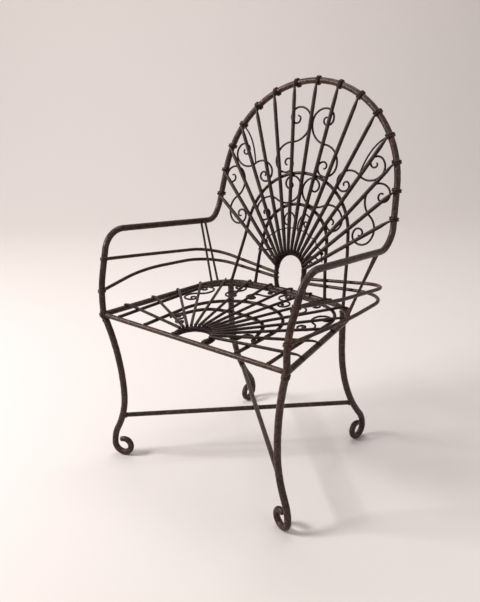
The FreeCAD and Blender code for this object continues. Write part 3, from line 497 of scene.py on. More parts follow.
def bent_line(corners, radii, step=SAMPLE_STEP):
    """Straight runs between the corners and, inside each corner, the arc that is tangent to both:
    centre + radius * (cos a * towards the first touch + sin a * along the first run)."""
    corners = [np.asarray(corner, float) for corner in corners]
    pieces = [corners[0][None, :]]
    for before, corner, after, radius in zip(corners, corners[1:], corners[2:], radii):
        inward = (before - corner) / np.linalg.norm(before - corner)
        onward = (after - corner) / np.linalg.norm(after - corner)
        turn = np.pi - np.arccos(np.clip(inward @ onward, -1, 1))
        touch = corner + inward * radius * np.tan(turn / 2)
        halfway = (inward + onward) / np.linalg.norm(inward + onward)
        centre = corner + halfway * radius / np.cos(turn / 2)
        angle = np.linspace(0, turn, 16)[:, None]
        pieces.append(centre + (touch - centre) * np.cos(angle) - inward * radius * np.sin(angle))
    pieces.append(corners[-1][None, :])
    return evenly(np.vstack(pieces), step)


foot_below = HOOP_FOOT_UP - HOOP_CENTRE
hoop_touch = np.arctan2(foot_below, HOOP_FOOT_HALF_WIDTH)
hoop_touch += np.arccos(HOOP_RADIUS / np.hypot(HOOP_FOOT_HALF_WIDTH, foot_below))
post_foot = np.array([RIM_HALF_WIDTH, FRONT_Y, RIM_TOP])
right_arm_line = bent_line(
    [post_foot, post_foot + UP * POST_STRAIGHT, ARM_FRONT, ARM_REAR,
     on_back(HOOP_FOOT_HALF_WIDTH, HOOP_FOOT_UP), round_on_back(HOOP_RADIUS, HOOP_CENTRE, hoop_touch)],
    ARM_BENDS)
hoop_angle = np.linspace(hoop_touch, np.pi - hoop_touch, 160)[1:-1]
hoop_top_line = round_on_back(HOOP_RADIUS, HOOP_CENTRE, hoop_angle)
left_arm_line = right_arm_line * [-1, 1, 1]
frame_line = evenly(np.vstack([right_arm_line, hoop_top_line, left_arm_line[::-1]]))

post_welds = [weld_bead((side * RIM_HALF_WIDTH, FRONT_Y, RIM_TOP + 0.0005), UP, HOOP_ROD_RADIUS - 0.0005,
                        POST_WELD, phase=side) for side in (-1, 1)]
iron_piece("arm_hoop_rod", [rod_surface(frame_line, HOOP_ROD_RADIUS, (1, 1, 1), around=20, marks=0.010)]
           + post_welds, frame_paint, "frame_iron", "arm_and_back_hoop")

# Back hub and arches. A horseshoe of 13 mm iron rod stands on the rim in the middle of the back,
# inside two arches of 9 mm rod. Their legs kink outwards and are welded to the rim, and a wire is
# wound over the hub's round top.

grille_paint = painted_iron("bronze_brown_grille_paint", paint=(0.013, 0.0064, 0.0049),
                            rubbed=(0.106, 0.061, 0.047), rust=(0.056, 0.025, 0.013),
                            facet_size=150.0, wear=0.60, relief=0.0010)
HUB_RADIUS = 0.006
ARCH_RADIUS = 0.004
ARCH_SWELL = 0.0006
ARCH_STEP = 0.004
ARCH_WELD = 0.0016
ARCH_WELD_RISE = 0.004
ARCH_FOOT_SINK = 0.003
KINK_BEND = [0.040]
SPOKE_RADIUS = 0.00425
SPOKE_LEVEL = HOOP_ROD_RADIUS + SPOKE_RADIUS
HUB_LEVEL = HOOP_ROD_RADIUS - HUB_RADIUS
ARCH_LEVEL = HOOP_ROD_RADIUS - ARCH_RADIUS
BACK_HUB = {"radius": 0.047, "centre": 0.062, "foot": 0.047, "kink": 0.034}
BACK_INNER_ARCH = {"radius": 0.108, "centre": 0.138, "foot": 0.122, "kink": 0.085}
BACK_MID_ARCH = {"radius": 0.170, "centre": 0.163, "foot": 0.195, "kink": 0.130}


def back_arch_line(radius, centre, foot, kink, level):
    """A round top, legs tangent to it that spread to the kink, and short bent feet on the rim."""
    touch = np.arccos(radius / np.hypot(foot, centre)) - np.arctan2(centre, foot)
    shoulder_across = radius * np.cos(touch)
    shoulder_up = centre + radius * np.sin(touch)
    kink_across = foot + (shoulder_across - foot) * kink / shoulder_up
    on_rim = np.array([foot, rim_rear_y(foot), RIM_TOP - ARCH_FOOT_SINK])
    leg = bent_line([on_rim, on_back(kink_across, kink, level), on_back(shoulder_across, shoulder_up, level)],
                    KINK_BEND)
    top = round_on_back(radius, centre, np.linspace(touch, np.pi - touch, 80)[1:-1], level)
    return evenly(np.vstack([leg, top, leg[::-1] * [-1, 1, 1]]), ARCH_STEP)


WIRE_RADIUS = 0.0011
WINDING_REACH = HUB_RADIUS + 0.0013
WINDING_PITCH = 0.0031
POINTS_PER_TURN = 10


def wound_wire(line, side):
    """Wire wound closely on the hub's rod: core + reach * (cos a * across + sin a * upright), where
    core is the rod's own line and a makes one turn in each pitch."""
    core = evenly(line, WINDING_PITCH / POINTS_PER_TURN)
    tangent, across, upright = directions(core, side)
    angle = (2 * np.pi * np.arange(len(core)) / POINTS_PER_TURN)[:, None]
    helix = core + WINDING_REACH * (np.cos(angle) * across + np.sin(angle) * upright)
    return rod_surface(helix, WIRE_RADIUS, tangent, around=6, marks=0.0)


def standing_arch(name, node, shape, level, radius, sides=14):
    """One arch on its two feet, with a bead of weld round each."""
    line = back_arch_line(**shape, level=level)
    surfaces = [rod_surface(line, radius + ARCH_SWELL, TO_SITTER, around=sides, phase=shape["radius"] * 60)]
    for end in (line[0], line[-1]):
        surfaces.append(weld_bead(end + UP * ARCH_WELD_RISE, UP, radius, ARCH_WELD, around=20,
                                  phase=end[0] * 50))
    iron_piece(name, surfaces, grille_paint, "grille_iron", node)
    return line


hub_line = standing_arch("back_hub_rod", "back_hub", BACK_HUB, HUB_LEVEL, HUB_RADIUS, 18)
standing_arch("back_mid_arch_rod", "back_mid_arch", BACK_MID_ARCH, ARCH_LEVEL, ARCH_RADIUS)
inner_arch_line = standing_arch("back_inner_arch_rod", "back_inner_arch", BACK_INNER_ARCH, ARCH_LEVEL,
                                ARCH_RADIUS)
hub_turn = np.linspace(np.radians(-4), np.radians(184), 60)
hub_top = round_on_back(BACK_HUB["radius"], BACK_HUB["centre"], hub_turn, HUB_LEVEL)
iron_piece("back_hub_winding", [wound_wire(hub_top, TO_SITTER)], grille_paint, "wire_iron")

# Back spokes. Fifteen iron rods, 10.6 mm thick, fan out from the hub over the hoop. Each is hammered
# down to 8.5 mm where it is welded on the crowded hub. Its outer end is drawn out thin, hooked over
# the hoop and wound round it twice.

SPOKE_COUNT = 15
SWOLLEN_RADIUS = 0.0053
SWELL_LENGTH = 0.055
HOOK_RADIUS = 0.0026
HOOK_PITCH = 0.0052
HOOK_TURNS = 1.9
HOOK_EASE = 0.013
HOOK_SINK = 0.0002
THINNING = 0.030
TIP_LENGTH = 0.008
TIP_SHARE = 0.55
LOW_SPOKE_RISE = 0.037
FAN_START = np.radians(6.0)


def hooked_spoke(inner, outer, face, along, carrier_radius, swollen, turns, phase):
    """From the hub straight to the carrier, then a helix round the carrier's own axis. The rod swells
    from the radius it has on the hub, thins to the hook's over the last stretch, and ends blunt."""
    lay = carrier_radius + SPOKE_RADIUS
    run = outer + face * lay - inner
    length = np.linalg.norm(run)
    run = run / length
    out = np.cross(along, face)
    if out @ run < 0:
        out = -out
    wrap = carrier_radius + HOOK_RADIUS - HOOK_SINK
    straight = inner + run * np.linspace(0, length - HOOK_EASE, 40)[:, None]
    angle = np.linspace(0, 2 * np.pi * turns, int(6 + 20 * turns))[:, None]
    hook = outer + wrap * (np.cos(angle) * face + np.sin(angle) * out)
    hook = hook + along * HOOK_PITCH * (angle / (2 * np.pi) - 0.45)
    share = np.array([[0.38], [0.72]])
    ease = straight[-1] + (hook[0] - straight[-1]) * share + face * 0.0006 * np.array([[1.0], [0.6]])
    line = np.vstack([straight, ease, hook])
    walked = walked_length(line)
    hook_start = walked[len(straight) + 1]
    end = walked[-1]
    radius = np.interp(walked, [0, SWELL_LENGTH, hook_start - THINNING, hook_start, end - TIP_LENGTH, end],
                       [SPOKE_RADIUS, swollen, swollen, HOOK_RADIUS, HOOK_RADIUS, HOOK_RADIUS * TIP_SHARE])
    return rod_surface(line, radius, along, around=12, phase=phase)


foot_flat = np.array([HOOP_FOOT_HALF_WIDTH, HOOP_FOOT_UP])
touch_flat = np.array([HOOP_RADIUS * np.cos(hoop_touch), HOOP_CENTRE + HOOP_RADIUS * np.sin(hoop_touch)])
hoop_side = np.hypot(*(touch_flat - foot_flat))
half_hoop = hoop_side + HOOP_RADIUS * (np.pi / 2 - hoop_touch)
number = np.arange(SPOKE_COUNT)
from_edge = np.minimum(number, SPOKE_COUNT - 1 - number)
places = LOW_SPOKE_RISE + (half_hoop - LOW_SPOKE_RISE) * from_edge / ((SPOKE_COUNT - 1) / 2)
hub_fan = FAN_START + (np.pi - 2 * FAN_START) * number / (SPOKE_COUNT - 1)
hoop_ends = np.zeros((SPOKE_COUNT, 2))
for index in range(SPOKE_COUNT):
    mirror = 1 if index <= SPOKE_COUNT // 2 else -1
    angle = hoop_touch + max(places[index] - hoop_side, 0) / HOOP_RADIUS
    hoop_ends[index] = HOOP_RADIUS * np.cos(angle), HOOP_CENTRE + HOOP_RADIUS * np.sin(angle)
    if places[index] < hoop_side:
        hoop_ends[index] = foot_flat + (touch_flat - foot_flat) * places[index] / hoop_side
    hoop_ends[index, 0] *= mirror
    outer = on_back(*hoop_ends[index])
    along = -mirror * np.sin(angle) * np.array([1.0, 0, 0]) + np.cos(angle) * UP_THE_BACK
    inner = round_on_back(BACK_HUB["radius"], BACK_HUB["centre"], hub_fan[index], SPOKE_LEVEL)
    surface = hooked_spoke(inner, outer, TO_SITTER, along, HOOP_ROD_RADIUS, SWOLLEN_RADIUS, HOOK_TURNS,
                           0.9 * index)
    iron_piece(f"back_spoke_{index + 1:02d}_rod", [surface], grille_paint, "grille_iron",
               f"back_spoke_{index + 1:02d}")

# Woven ring. A thin iron wire runs round the hub, over one spoke and under the next, and ties them
# together. It is only woven in, not welded.

WOVEN_RADIUS = 0.116
WOVEN_WIRE = 0.0018
WEAVE_REACH = SPOKE_RADIUS + 0.0013
woven_angle = np.linspace(np.radians(19), np.radians(161), 240)
hub_points = np.stack([BACK_HUB["radius"] * np.cos(hub_fan),
                       BACK_HUB["centre"] + BACK_HUB["radius"] * np.sin(hub_fan)])
spoke_run = hoop_ends.T - hub_points
spoke_run /= np.linalg.norm(spoke_run, axis=0)
offset = hub_points - np.array([[0.0], [BACK_HUB["centre"]]])
reach_along = -np.sum(offset * spoke_run, axis=0)
reach_along += np.sqrt(reach_along**2 - np.sum(offset**2, axis=0) + WOVEN_RADIUS**2)
met = offset + spoke_run * reach_along
met_angle = np.arctan2(met[1], met[0])
weave = np.cos(np.pi * np.interp(woven_angle, met_angle, np.arange(SPOKE_COUNT)))
woven_line = round_on_back(WOVEN_RADIUS, BACK_HUB["centre"], woven_angle, SPOKE_LEVEL + WEAVE_REACH * weave)
wire_paint = painted_iron("bronze_brown_wire_paint", paint=(0.011, 0.0057, 0.0044),
                          rubbed=(0.080, 0.047, 0.037), rust=(0.044, 0.020, 0.011),
                          facet_size=190.0, wear=0.50, relief=0.0006)
iron_piece("woven_ring_wire", [rod_surface(woven_line, WOVEN_WIRE, TO_SITTER, around=8)], wire_paint,
           "wire_iron")

# Seat hub and arches. The same pattern lies in the seat: a hub of 13 mm iron rod and three arches of
# 9 mm rod under the spokes. The inner arch is welded into the middle one, and the others end at the
# back of the front rail. Wire is wound over the hub's round top and knotted round its right leg.

SEAT_HUB_LEVEL = RIM_TOP - HUB_RADIUS
SEAT_ARCH_LEVEL = RIM_TOP - ARCH_RADIUS
BEHIND_RAIL = RAIL_RADIUS
SEAT_HUB = {"radius": 0.050, "centre": 0.026, "foot": 0.050}
SEAT_MID_ARCH = {"radius": 0.150, "centre": 0.147, "foot": 0.152}
SEAT_OUTER_ARCH = {"half_width": 0.249, "front": BEHIND_RAIL, "depth": 0.408, "taper": 4.0,
                   "corner": 0.115, "bow": 0.600}
SEAT_INNER_ARCH = {"half_width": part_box("seat_inner_arch")[1][0] - 0.0042, "front": 0.088,
                   "depth": 0.208, "taper": 20.0, "corner": 0.068, "bow": 0.240, "setback": 0.088}
SEAT_WELD = 0.0015
KNOT_WIRE = 0.0019
KNOT_PITCH = 0.0034
KNOT_TURNS = 3.1
KNOT_REACH = HUB_RADIUS + 0.0010
KNOT_SETBACK = 0.007


def round_arch_line(radius, centre, foot, height, front=BEHIND_RAIL):
    """Two straight legs tangent to a round top."""
    leg_share = np.clip(radius / np.hypot(foot, front - centre), -1, 1)
    touch = np.arctan2(front - centre, foot) + np.arccos(leg_share)
    angle = np.linspace(touch, np.pi - touch, 80)
    top = np.stack([radius * np.cos(angle), centre + radius * np.sin(angle)], axis=1)
    flat = np.vstack([[foot, front], top, [-foot, front]])
    return evenly(np.column_stack([flat[:, 0], flat[:, 1] + FRONT_Y, np.full(len(flat), height)]), ARCH_STEP)


def coil_line(centre, axis, radius, pitch, turns, start=(0.31, 0.86, 0.41), per_turn=22):
    """A helix round an axis: centre + radius * (cos a * start + sin a * other) + pitch * a / full turn."""
    axis = np.asarray(axis, float) / np.linalg.norm(axis)
    start = np.asarray(start, float) - axis * (np.asarray(start, float) @ axis)
    start /= np.linalg.norm(start)
    other = np.cross(axis, start)
    angle = np.linspace(0, 2 * np.pi * turns, int(per_turn * turns))[:, None]
    rise = pitch * (angle / (2 * np.pi) - turns / 2)
    return np.asarray(centre) + radius * (np.cos(angle) * start + np.sin(angle) * other) + rise * axis


def seat_arch(name, node, line, radius, phase):
    """One lying arch, with a bead of weld round each end."""
    surfaces = [rod_surface(line, radius + ARCH_SWELL, UP, around=14, phase=phase)]
    for end, second in ((line[0], line[1]), (line[-1], line[-2])):
        surfaces.append(weld_bead(end, second - end, radius, SEAT_WELD, around=20, phase=phase + end[0] * 40))
    return iron_piece(name, surfaces, grille_paint, "grille_iron", node)


def on_seat_hub(angle, height):
    """Places on the circle of the seat's hub: centre + radius * (cos a, sin a), at this height."""
    angle = np.atleast_1d(angle)
    return np.column_stack([SEAT_HUB["radius"] * np.cos(angle),
                            FRONT_Y + SEAT_HUB["centre"] + SEAT_HUB["radius"] * np.sin(angle),
                            np.full(len(angle), height)])


seat_arch("seat_hub_rod", "seat_hub", round_arch_line(**SEAT_HUB, height=SEAT_HUB_LEVEL), HUB_RADIUS, 0.3)
seat_arch("seat_outer_arch_rod", "seat_outer_arch", horseshoe_line(**SEAT_OUTER_ARCH, height=SEAT_ARCH_LEVEL),
          ARCH_RADIUS, 1.1)
seat_arch("seat_mid_arch_rod", "seat_mid_arch", round_arch_line(**SEAT_MID_ARCH, height=SEAT_ARCH_LEVEL),
          ARCH_RADIUS, 1.9)
seat_arch("seat_inner_arch_rod", "seat_inner_arch", horseshoe_line(**SEAT_INNER_ARCH, height=SEAT_ARCH_LEVEL),
          ARCH_RADIUS, 2.7)
seat_turn = np.linspace(np.radians(-6), np.radians(186), 60)
winding = wound_wire(on_seat_hub(seat_turn, SEAT_HUB_LEVEL), UP)
knot_place = np.array([SEAT_HUB["radius"], FRONT_Y + BEHIND_RAIL + KNOT_SETBACK, SEAT_HUB_LEVEL])
knot_line = coil_line(knot_place, (0.1, 1, 0.1), KNOT_REACH, KNOT_PITCH, KNOT_TURNS, start=(1, 0, 0.4))
knot = rod_surface(knot_line, KNOT_WIRE, (0, 1, 0), around=8)
iron_piece("seat_hub_winding", [winding, knot], grille_paint, "wire_iron")

# Seat spokes. Fifteen more iron rods, 8 mm thick, fan out from the seat's hub over the arches to the
# rim. Their thinned ends are hammered down over it and welded, and stand up there as small knobs.

SEAT_SPOKE_LEVEL = RIM_TOP + SPOKE_RADIUS
SEAT_SPOKE_RADIUS = 0.0040
SEAT_HOOK_TURNS = 0.22
FIRST_SPOKE_SETBACK = 0.074
WIDER_IN_FRONT = 0.35
RIM_LOOK = 0.002

rim_fine = evenly(rim_line, 0.0005)
rim_walked = walked_length(rim_fine)
first_distance = FIRST_SPOKE_SETBACK + RIM_OVERHANG
steps = SPOKE_COUNT // 2
step_sizes = 1 + WIDER_IN_FRONT * (1 - np.arange(steps) / (steps - 1))
step_places = np.concatenate([[0.0], np.cumsum(step_sizes)]) / step_sizes.sum()
for index in range(SPOKE_COUNT):
    mirror = 1 if index <= SPOKE_COUNT // 2 else -1
    distance = first_distance + (rim_walked[-1] / 2 - first_distance) * step_places[from_edge[index]]
    ahead, outer, behind = [
        np.array([np.interp(distance + shift, rim_walked, rim_fine[:, axis]) for axis in range(3)])
        for shift in (RIM_LOOK, 0.0, -RIM_LOOK)]
    along = (ahead - behind) / np.linalg.norm(ahead - behind) * [mirror, 1, 1]
    inner = on_seat_hub(hub_fan[index], SEAT_SPOKE_LEVEL)[0]
    surface = hooked_spoke(inner, outer * [mirror, 1, 1], UP, along, RIM_RADIUS, SEAT_SPOKE_RADIUS,
                           SEAT_HOOK_TURNS, 1.3 * index)
    iron_piece(f"seat_spoke_{index + 1:02d}_rod", [surface], grille_paint, "grille_iron",
               f"seat_spoke_{index + 1:02d}")

# Side rails. On each side two 9 mm iron rods leave the front post, bow out beside the seat, turn in
# a wide corner behind the arm and run across the back to the hub's leg, where they are welded.

SIDE_RAIL_RADIUS = 0.004
RAIL_SWELL = 0.0007
RAIL_GAP = 0.0002
RAIL_BOW_SETBACK = 0.185
RAIL_BOW_BEND = 0.500
RAIL_END_WELD = 0.0014
RAIL_END_BEAD = 0.0035
SIDE_RAILS = {
    "upper": {"height": 0.594, "bow": 0.012, "drop": 0.029, "corner": (0.312, 0.507), "bend": 0.085,
              "end": 0.476},
    "lower": {"height": 0.496, "bow": 0.036, "drop": -0.006, "corner": (0.314, 0.482), "bend": 0.110,
              "end": 0.463},
}
POST_POINTS = 30
HUB_LEG_POINTS = 14
ARCH_LEG_POINTS = 30


def read_at(line, column, value):
    """The point of a line, rising or falling in this coordinate, where it has this value."""
    order = np.argsort(line[:, column])
    return np.array([np.interp(value, line[order, column], line[order, axis]) for axis in range(3)])


right_post_line = right_arm_line[:POST_POINTS]
right_hub_leg = hub_line[hub_line[:, 0] > 0][:HUB_LEG_POINTS]
right_arch_leg = inner_arch_line[inner_arch_line[:, 0] > 0][:ARCH_LEG_POINTS]
rail_posts = {}
for word, rail in SIDE_RAILS.items():
    post = read_at(right_post_line, 2, rail["height"])
    rail_posts[word] = post
    corner_across, corner_height = rail["corner"]
    hub_leg = read_at(right_hub_leg, 2, rail["end"])
    share = (BACK_INNER_ARCH["foot"] - hub_leg[0]) / (corner_across - hub_leg[0])
    arch_leg = read_at(right_arch_leg, 2, rail["end"] + (corner_height - rail["end"]) * share)
    behind_hub = hub_leg[1] + HUB_RADIUS + SIDE_RAIL_RADIUS + RAIL_GAP
    behind_arch = arch_leg[1] + ARCH_RADIUS + SIDE_RAIL_RADIUS + RAIL_GAP
    slope = (behind_arch - behind_hub) / (arch_leg[0] - hub_leg[0])
    corner = np.array([corner_across, behind_hub + slope * (corner_across - hub_leg[0]), corner_height])
    bow = np.array([post[0] + rail["bow"], FRONT_Y + RAIL_BOW_SETBACK, post[2] - rail["drop"]])
    end = np.array([hub_leg[0], behind_hub, rail["end"]])
    line = bent_line([post, bow, corner, end], [RAIL_BOW_BEND, rail["bend"]])
    for side_word, mirror in (("right", 1), ("left", -1)):
        own = line * [mirror, 1, 1]
        surfaces = [rod_surface(own, SIDE_RAIL_RADIUS + RAIL_SWELL, UP, around=14,
                                phase=mirror + rail["height"] * 9)]
        surfaces.append(weld_bead(own[-1] - [0, SIDE_RAIL_RADIUS, 0], (0, 1, 0), RAIL_END_BEAD,
                                  RAIL_END_WELD, around=18))
        iron_piece(f"{side_word}_{word}_rail_rod", surfaces, frame_paint, "wire_iron",
                   f"{side_word}_{word}_arm_rail")

# Arm struts. On each side two 7 mm iron rods stand on the seat rim and run past the rails to the
# underside of the arm, where they are welded side by side.

STRUT_RADIUS = 0.0034
STRUT_PITCH = 0.016
STRUT_FOOT_SETBACK = 0.372
STRUT_TOP_SETBACK = 0.402
STRUT_WELD = 0.0013
arm_setback = right_arm_line[:, 1] - FRONT_Y
arm_straight = right_arm_line[(arm_setback > 0.15) & (arm_setback < 0.44) & (right_arm_line[:, 2] < 0.66)]
right_side_of_rim = rim_line[(rim_line[:, 0] > 0) & (rim_line[:, 1] < FRONT_Y + 0.40)]
for side_word, mirror in (("right", 1), ("left", -1)):
    surfaces = []
    for shift in (-STRUT_PITCH / 2, STRUT_PITCH / 2):
        foot = read_at(right_side_of_rim, 1, FRONT_Y + STRUT_FOOT_SETBACK + shift)
        top = read_at(arm_straight, 1, FRONT_Y + STRUT_TOP_SETBACK + shift)
        run = (top - foot) / np.linalg.norm(top - foot)
        foot = foot + run * (RIM_RADIUS - WELD_SINK)
        top = top - run * (HOOP_ROD_RADIUS - WELD_SINK)
        own = straight_line(foot, top) * [mirror, 1, 1]
        surfaces.append(rod_surface(own, STRUT_RADIUS, (0, 1, 0.1), around=12, phase=shift * 300))
        for end in (own[0], own[-1]):
            surfaces.append(weld_bead(end, run * [mirror, 1, 1], STRUT_RADIUS, STRUT_WELD, around=16,
                                      phase=shift * 90))
    iron_piece(f"{side_word}_strut_rods", surfaces, frame_paint, "wire_iron", f"{side_word}_arm_struts")

# Bindings. Soft iron wire is wound twice round each post where a rail meets it. A thinner one goes
# round each front leg under the seat's corner.

BINDING_RADIUS = 0.0023
BINDING_PITCH = 0.0047
CORNER_WIRE = 0.0019
CORNER_PITCH = 0.0040
BINDING_TURNS = 2.1
for side_word, mirror in (("right", 1), ("left", -1)):
    surfaces = []
    for word, post in rail_posts.items():
        nearest = np.argmin(np.abs(right_post_line[:, 2] - post[2]))
        axis = (right_arm_line[nearest + 1] - right_arm_line[nearest - 1]) * [mirror, 1, 1]
        around_post = coil_line(post * [mirror, 1, 1], axis, HOOP_ROD_RADIUS + BINDING_RADIUS * 0.3,
                                BINDING_PITCH, BINDING_TURNS, start=(0.2 * mirror, 1, 0))
        surfaces.append(rod_surface(around_post, BINDING_RADIUS, axis, around=10, phase=post[2] * 20))
    leg = leg_lines["front", side_word]
    around_leg = coil_line(leg[-3], leg[-1] - leg[-5], LEG_RADIUS - 0.0002, CORNER_PITCH, BINDING_TURNS,
                           start=(0, 1, 0))
    surfaces.append(rod_surface(around_leg, CORNER_WIRE, leg[-1] - leg[-5], around=10, phase=mirror))
    iron_piece(f"{side_word}_post_bindings", surfaces, frame_paint, "wire_iron")

# Back scrolls. Eight S-shaped scrolls of 6 mm iron wire are tacked behind the spokes. Both ends of
# each are wound into an eye, every quarter turn tighter than the one before by the same share.

SCROLL_RADIUS = 0.0029
SOLID_SCROLL_RADIUS = 0.00225
SCROLL_SHRINK = 0.68
SCROLL_LEVEL = HOOP_ROD_RADIUS - SOLID_SCROLL_RADIUS


def wound_half(arm, hand, quarters=6, shrink=SCROLL_SHRINK):
    """Quarter arcs whose radii fall by the same share, turned and scaled so that the centre of the
    last one comes to the end of the arm. The points lie in a plane and start at its middle."""
    radius = 1.0
    centre = np.array([0.0, 1.0])
    angle = -np.pi / 2
    pieces = []
    for quarter in range(quarters):
        if quarter:
            centre = centre + (radius - radius * shrink) * np.array([np.cos(angle), np.sin(angle)])
            radius *= shrink
        pieces.append(arc(centre, radius, angle, angle + np.pi / 2, 14)[int(quarter > 0):])
        angle += np.pi / 2
    points = np.vstack(pieces) * [1, hand]
    swing = np.arctan2(arm[1], arm[0]) - np.arctan2(hand * centre[1], centre[0])
    turn = np.array([[np.cos(swing), -np.sin(swing)], [np.sin(swing), np.cos(swing)]])
    return points @ turn.T * np.hypot(*arm) / np.hypot(*centre)


def scroll_flat_line(upper_eye, lower_eye, hand, upper_share=0.53):
    """An S from its lower eye to its upper one. The two halves have one shape and meet in line."""
    upper_eye = np.asarray(upper_eye, float)
    lower_eye = np.asarray(lower_eye, float)
    middle = upper_eye + (lower_eye - upper_eye) * upper_share
    lower = middle + wound_half(lower_eye - middle, hand)
    upper = middle + wound_half(upper_eye - middle, hand)
    return np.vstack([lower[:0:-1], upper])


def scroll_surface(line, side, phase, radius=SCROLL_RADIUS):
    """The wire keeps its thickness to the eyes, and its last 25 mm are drawn slightly thinner."""
    line = evenly(line, 0.0022)
    count = len(line)
    thick = radius * np.interp(np.arange(count), [0, 12, count - 13, count - 1], [0.85, 1.0, 1.0, 0.85])
    return rod_surface(line, thick, side, around=10, marks=0.02, phase=phase)


BACK_SCROLLS = (
    ((0.047, 0.480), (0.062, 0.358), -1),
    ((0.216, 0.376), (0.137, 0.317), 1),
    ((0.249, 0.297), (0.204, 0.194), -1),
    ((0.039, 0.2955), (0.112, 0.2105), -1),
)
surfaces = []
for number, (upper_eye, lower_eye, hand) in enumerate(BACK_SCROLLS):
    flat = scroll_flat_line(upper_eye, lower_eye, hand)
    for mirror in (1, -1):
        line = on_back(mirror * flat[:, 0], flat[:, 1], SCROLL_LEVEL)
        surfaces.append(scroll_surface(line, TO_SITTER, number + mirror))
iron_piece("back_scroll_wires", surfaces, wire_paint, "wire_iron", "back_scrolls")

# Small curls of the back. Over the hub two narrow eyes of 5 mm iron wire stand beside the middle
# spoke. Two more curls sit beside the hub's round top, and a bent wire ties each upper side scroll to
# the hoop. All are tacked behind the spokes.

SMALL_WIRE = 0.0024
SMALL_LEVEL = HOOP_ROD_RADIUS - SMALL_WIRE
EYE_FOOT = np.array([0.008, 0.171])
EYE_ARM = np.array([0.022, 0.018])
EYE_STRETCH = np.array([1.0, 1.4])
HUB_CURL = {"upper_eye": (0.098, 0.122), "lower_eye": (0.066, 0.090), "hand": 1, "upper_share": 0.5}
TIED_SPOKE = 3
TIE_END = np.array([0.174, 0.345])
TIE_BEND = np.array([0.72, 0.22])

surfaces = []
narrow_eye = EYE_FOOT + wound_half(EYE_ARM, -1) * EYE_STRETCH
hub_curl = scroll_flat_line(**HUB_CURL)
tie_start = hoop_ends[TIED_SPOKE]
tie_bend = tie_start + (TIE_END - tie_start) * TIE_BEND
share = np.linspace(0, 1, 30)[:, None]
tie = tie_start * (1 - share) ** 2 + 2 * tie_bend * share * (1 - share) + TIE_END * share**2
for number, flat in enumerate((narrow_eye, hub_curl, tie)):
    for mirror in (1, -1):
        line = on_back(mirror * flat[:, 0], flat[:, 1], SMALL_LEVEL)
        surfaces.append(scroll_surface(line, TO_SITTER, 5 + number + mirror, SMALL_WIRE))
iron_piece("back_small_curls", surfaces, wire_paint, "wire_iron")

# Seat scrolls. The seat has the same scrolls in 5 mm iron wire, tacked under its spokes between the
# outer and the middle arch, and a pair of small ones beside the hub.

SEAT_WIRE = 0.0027
SEAT_SCROLLS = (
    ((0.028, 0.381), (0.051, 0.327), -1, 0.5),
    ((0.132, 0.367), (0.110, 0.310), -1, 0.5),
    ((0.206, 0.302), (0.190, 0.229), -1, 0.53),
    ((0.118, 0.100), (0.090, 0.076), -1, 0.5),
)
surfaces = []
for number, (upper_eye, lower_eye, hand, share) in enumerate(SEAT_SCROLLS):
    flat = scroll_flat_line(upper_eye, lower_eye, hand, share)
    for mirror in (1, -1):
        line = np.column_stack([mirror * flat[:, 0], FRONT_Y + flat[:, 1],
                                np.full(len(flat), RIM_TOP - SEAT_WIRE)])
        surfaces.append(scroll_surface(line, UP, 9 + number + mirror, SEAT_WIRE))
iron_piece("seat_scroll_wires", surfaces, wire_paint, "wire_iron")

# Studio. One sheet of pale paper is the floor and curves up behind the chair. A large soft lamp
# stands to the left, a weaker one to the right, and a third hangs above.

VIEW_AZIMUTH = np.radians(39.9)
VIEW_ELEVATION = np.radians(20.3)
VIEW_ROLL = np.radians(-1.6)
away = np.array([-np.sin(VIEW_AZIMUTH), np.cos(VIEW_AZIMUTH), 0.0])
sideways = np.array([np.cos(VIEW_AZIMUTH), np.sin(VIEW_AZIMUTH), 0.0])


def sheet_mesh(front, behind, bend, height, half_width):
    """A profile (distance away, height) of floor, quarter arc and wall, carried sideways."""
    angle = np.linspace(0, np.pi / 2, 24)
    distance = np.concatenate([[-front], behind + bend * np.sin(angle), [behind + bend]])
    rise = np.concatenate([[0.0], bend - bend * np.cos(angle), [height]])
    across = np.array([-half_width, half_width])
    grid = distance[:, None, None] * away + rise[:, None, None] * UP + across[None, :, None] * sideways
    start = np.arange(len(distance) - 1) * 2
    quads = np.stack([start, start + 1, start + 3, start + 2], axis=1)
    mesh = bpy.data.meshes.new("studio_sheet")
    mesh.from_pydata(grid.reshape(-1, 3).tolist(), [], quads.tolist())
    mesh.shade_smooth()
    return mesh


sheet = bpy.data.objects.new("studio_sheet", sheet_mesh(front=7.0, behind=2.6, bend=1.6, height=5.0,
                                                        half_width=8.0))
bpy.context.scene.collection.objects.link(sheet)
paper = bpy.data.materials.new("pale_studio_paper")
paper.use_nodes = True
paper_shader = paper.node_tree.nodes["Principled BSDF"]
paper_shader.inputs["Base Color"].default_value = (0.85, 0.79, 0.765, 1.0)
paper_shader.inputs["Roughness"].default_value = 0.75
sheet.data.materials.append(paper)


def standing_at(right, upward, ahead, place):
    """Where a lamp or camera stands: its own axes are right, upward and against its line of sight."""
    axes = np.stack([right, upward, -ahead], axis=1)
    return Matrix([[*row, place[i]] for i, row in enumerate(axes)] + [[0, 0, 0, 1]])


def soft_lamp(name, place, target, size, power, colour):
    """A square or oblong lamp at a place, turned to its target."""
    lamp = bpy.data.lights.new(name, "AREA")
    lamp.shape = "RECTANGLE"
    lamp.size, lamp.size_y = size
    lamp.energy = power
    lamp.color = colour
    holder = bpy.data.objects.new(name, lamp)
    ahead = np.asarray(target, float) - np.asarray(place, float)
    ahead /= np.linalg.norm(ahead)
    right = np.cross(ahead, UP)
    right /= np.linalg.norm(right)
    holder.matrix_world = standing_at(right, np.cross(right, ahead), ahead, place)
    bpy.context.scene.collection.objects.link(holder)


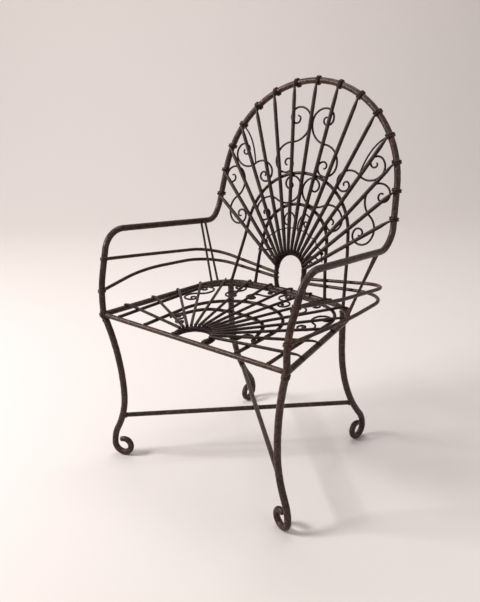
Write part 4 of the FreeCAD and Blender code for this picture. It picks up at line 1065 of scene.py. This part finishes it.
middle_of_chair = np.array([0.0, 0.0, 0.5])
soft_lamp("window_lamp", -3.5 * sideways - 0.3 * away + 2.9 * UP, middle_of_chair,
          size=(1.2, 1.0), power=158.0, colour=(1.0, 0.975, 0.955))
soft_lamp("fill_lamp", 2.4 * sideways - 2.6 * away + 1.7 * UP, middle_of_chair,
          size=(2.0, 1.4), power=10.0, colour=(0.96, 0.98, 1.0))
soft_lamp("ceiling_lamp", 1.1 * away + 3.6 * UP, middle_of_chair + away * 0.6,
          size=(2.0, 1.0), power=40.0, colour=(1.0, 1.0, 1.0))
AIR_LIGHT = 0.30
AIR_SEEN = 0.68
world = bpy.data.worlds.new("studio_air")
world.use_nodes = True
air = world.node_tree
rays = air.nodes.new("ShaderNodeLightPath").outputs
seen = combine(air, "MAXIMUM", rays["Is Camera Ray"], rays["Is Glossy Ray"])
seen = combine(air, "MAXIMUM", seen, rays["Is Transmission Ray"])
air.nodes["Background"].inputs["Color"].default_value = (1.0, 0.95, 0.93, 1.0)
air.links.new(stretch(air, seen, 0.0, 1.0, AIR_LIGHT, AIR_SEEN), air.nodes["Background"].inputs["Strength"])
bpy.context.scene.world = world
bpy.context.scene.view_settings.view_transform = "Standard"

# Camera. It stands to the right of the chair, a little higher than its back, and looks down at it
# with a slight roll. Its lens is given in pixels of a picture of this height.

FOCAL_PIXELS = 749.3
PICTURE_HEIGHT = 602
camera_place = np.array([1.1888, FRONT_Y - 1.2115, 1.1555])
ahead = away * np.cos(VIEW_ELEVATION) - UP * np.sin(VIEW_ELEVATION)
level_up = np.cross(sideways, ahead)
picture_right = np.cos(VIEW_ROLL) * sideways + np.sin(VIEW_ROLL) * level_up
picture_up = -np.sin(VIEW_ROLL) * sideways + np.cos(VIEW_ROLL) * level_up
lens = bpy.data.cameras.new("photo_camera")
lens.sensor_fit = "VERTICAL"
lens.sensor_height = 24.0
lens.lens = FOCAL_PIXELS / PICTURE_HEIGHT * lens.sensor_height
lens.clip_end = 60.0
camera = bpy.data.objects.new("photo_camera", lens)
camera.matrix_world = standing_at(picture_right, picture_up, ahead, camera_place)
bpy.context.scene.collection.objects.link(camera)
bpy.context.scene.camera = camera
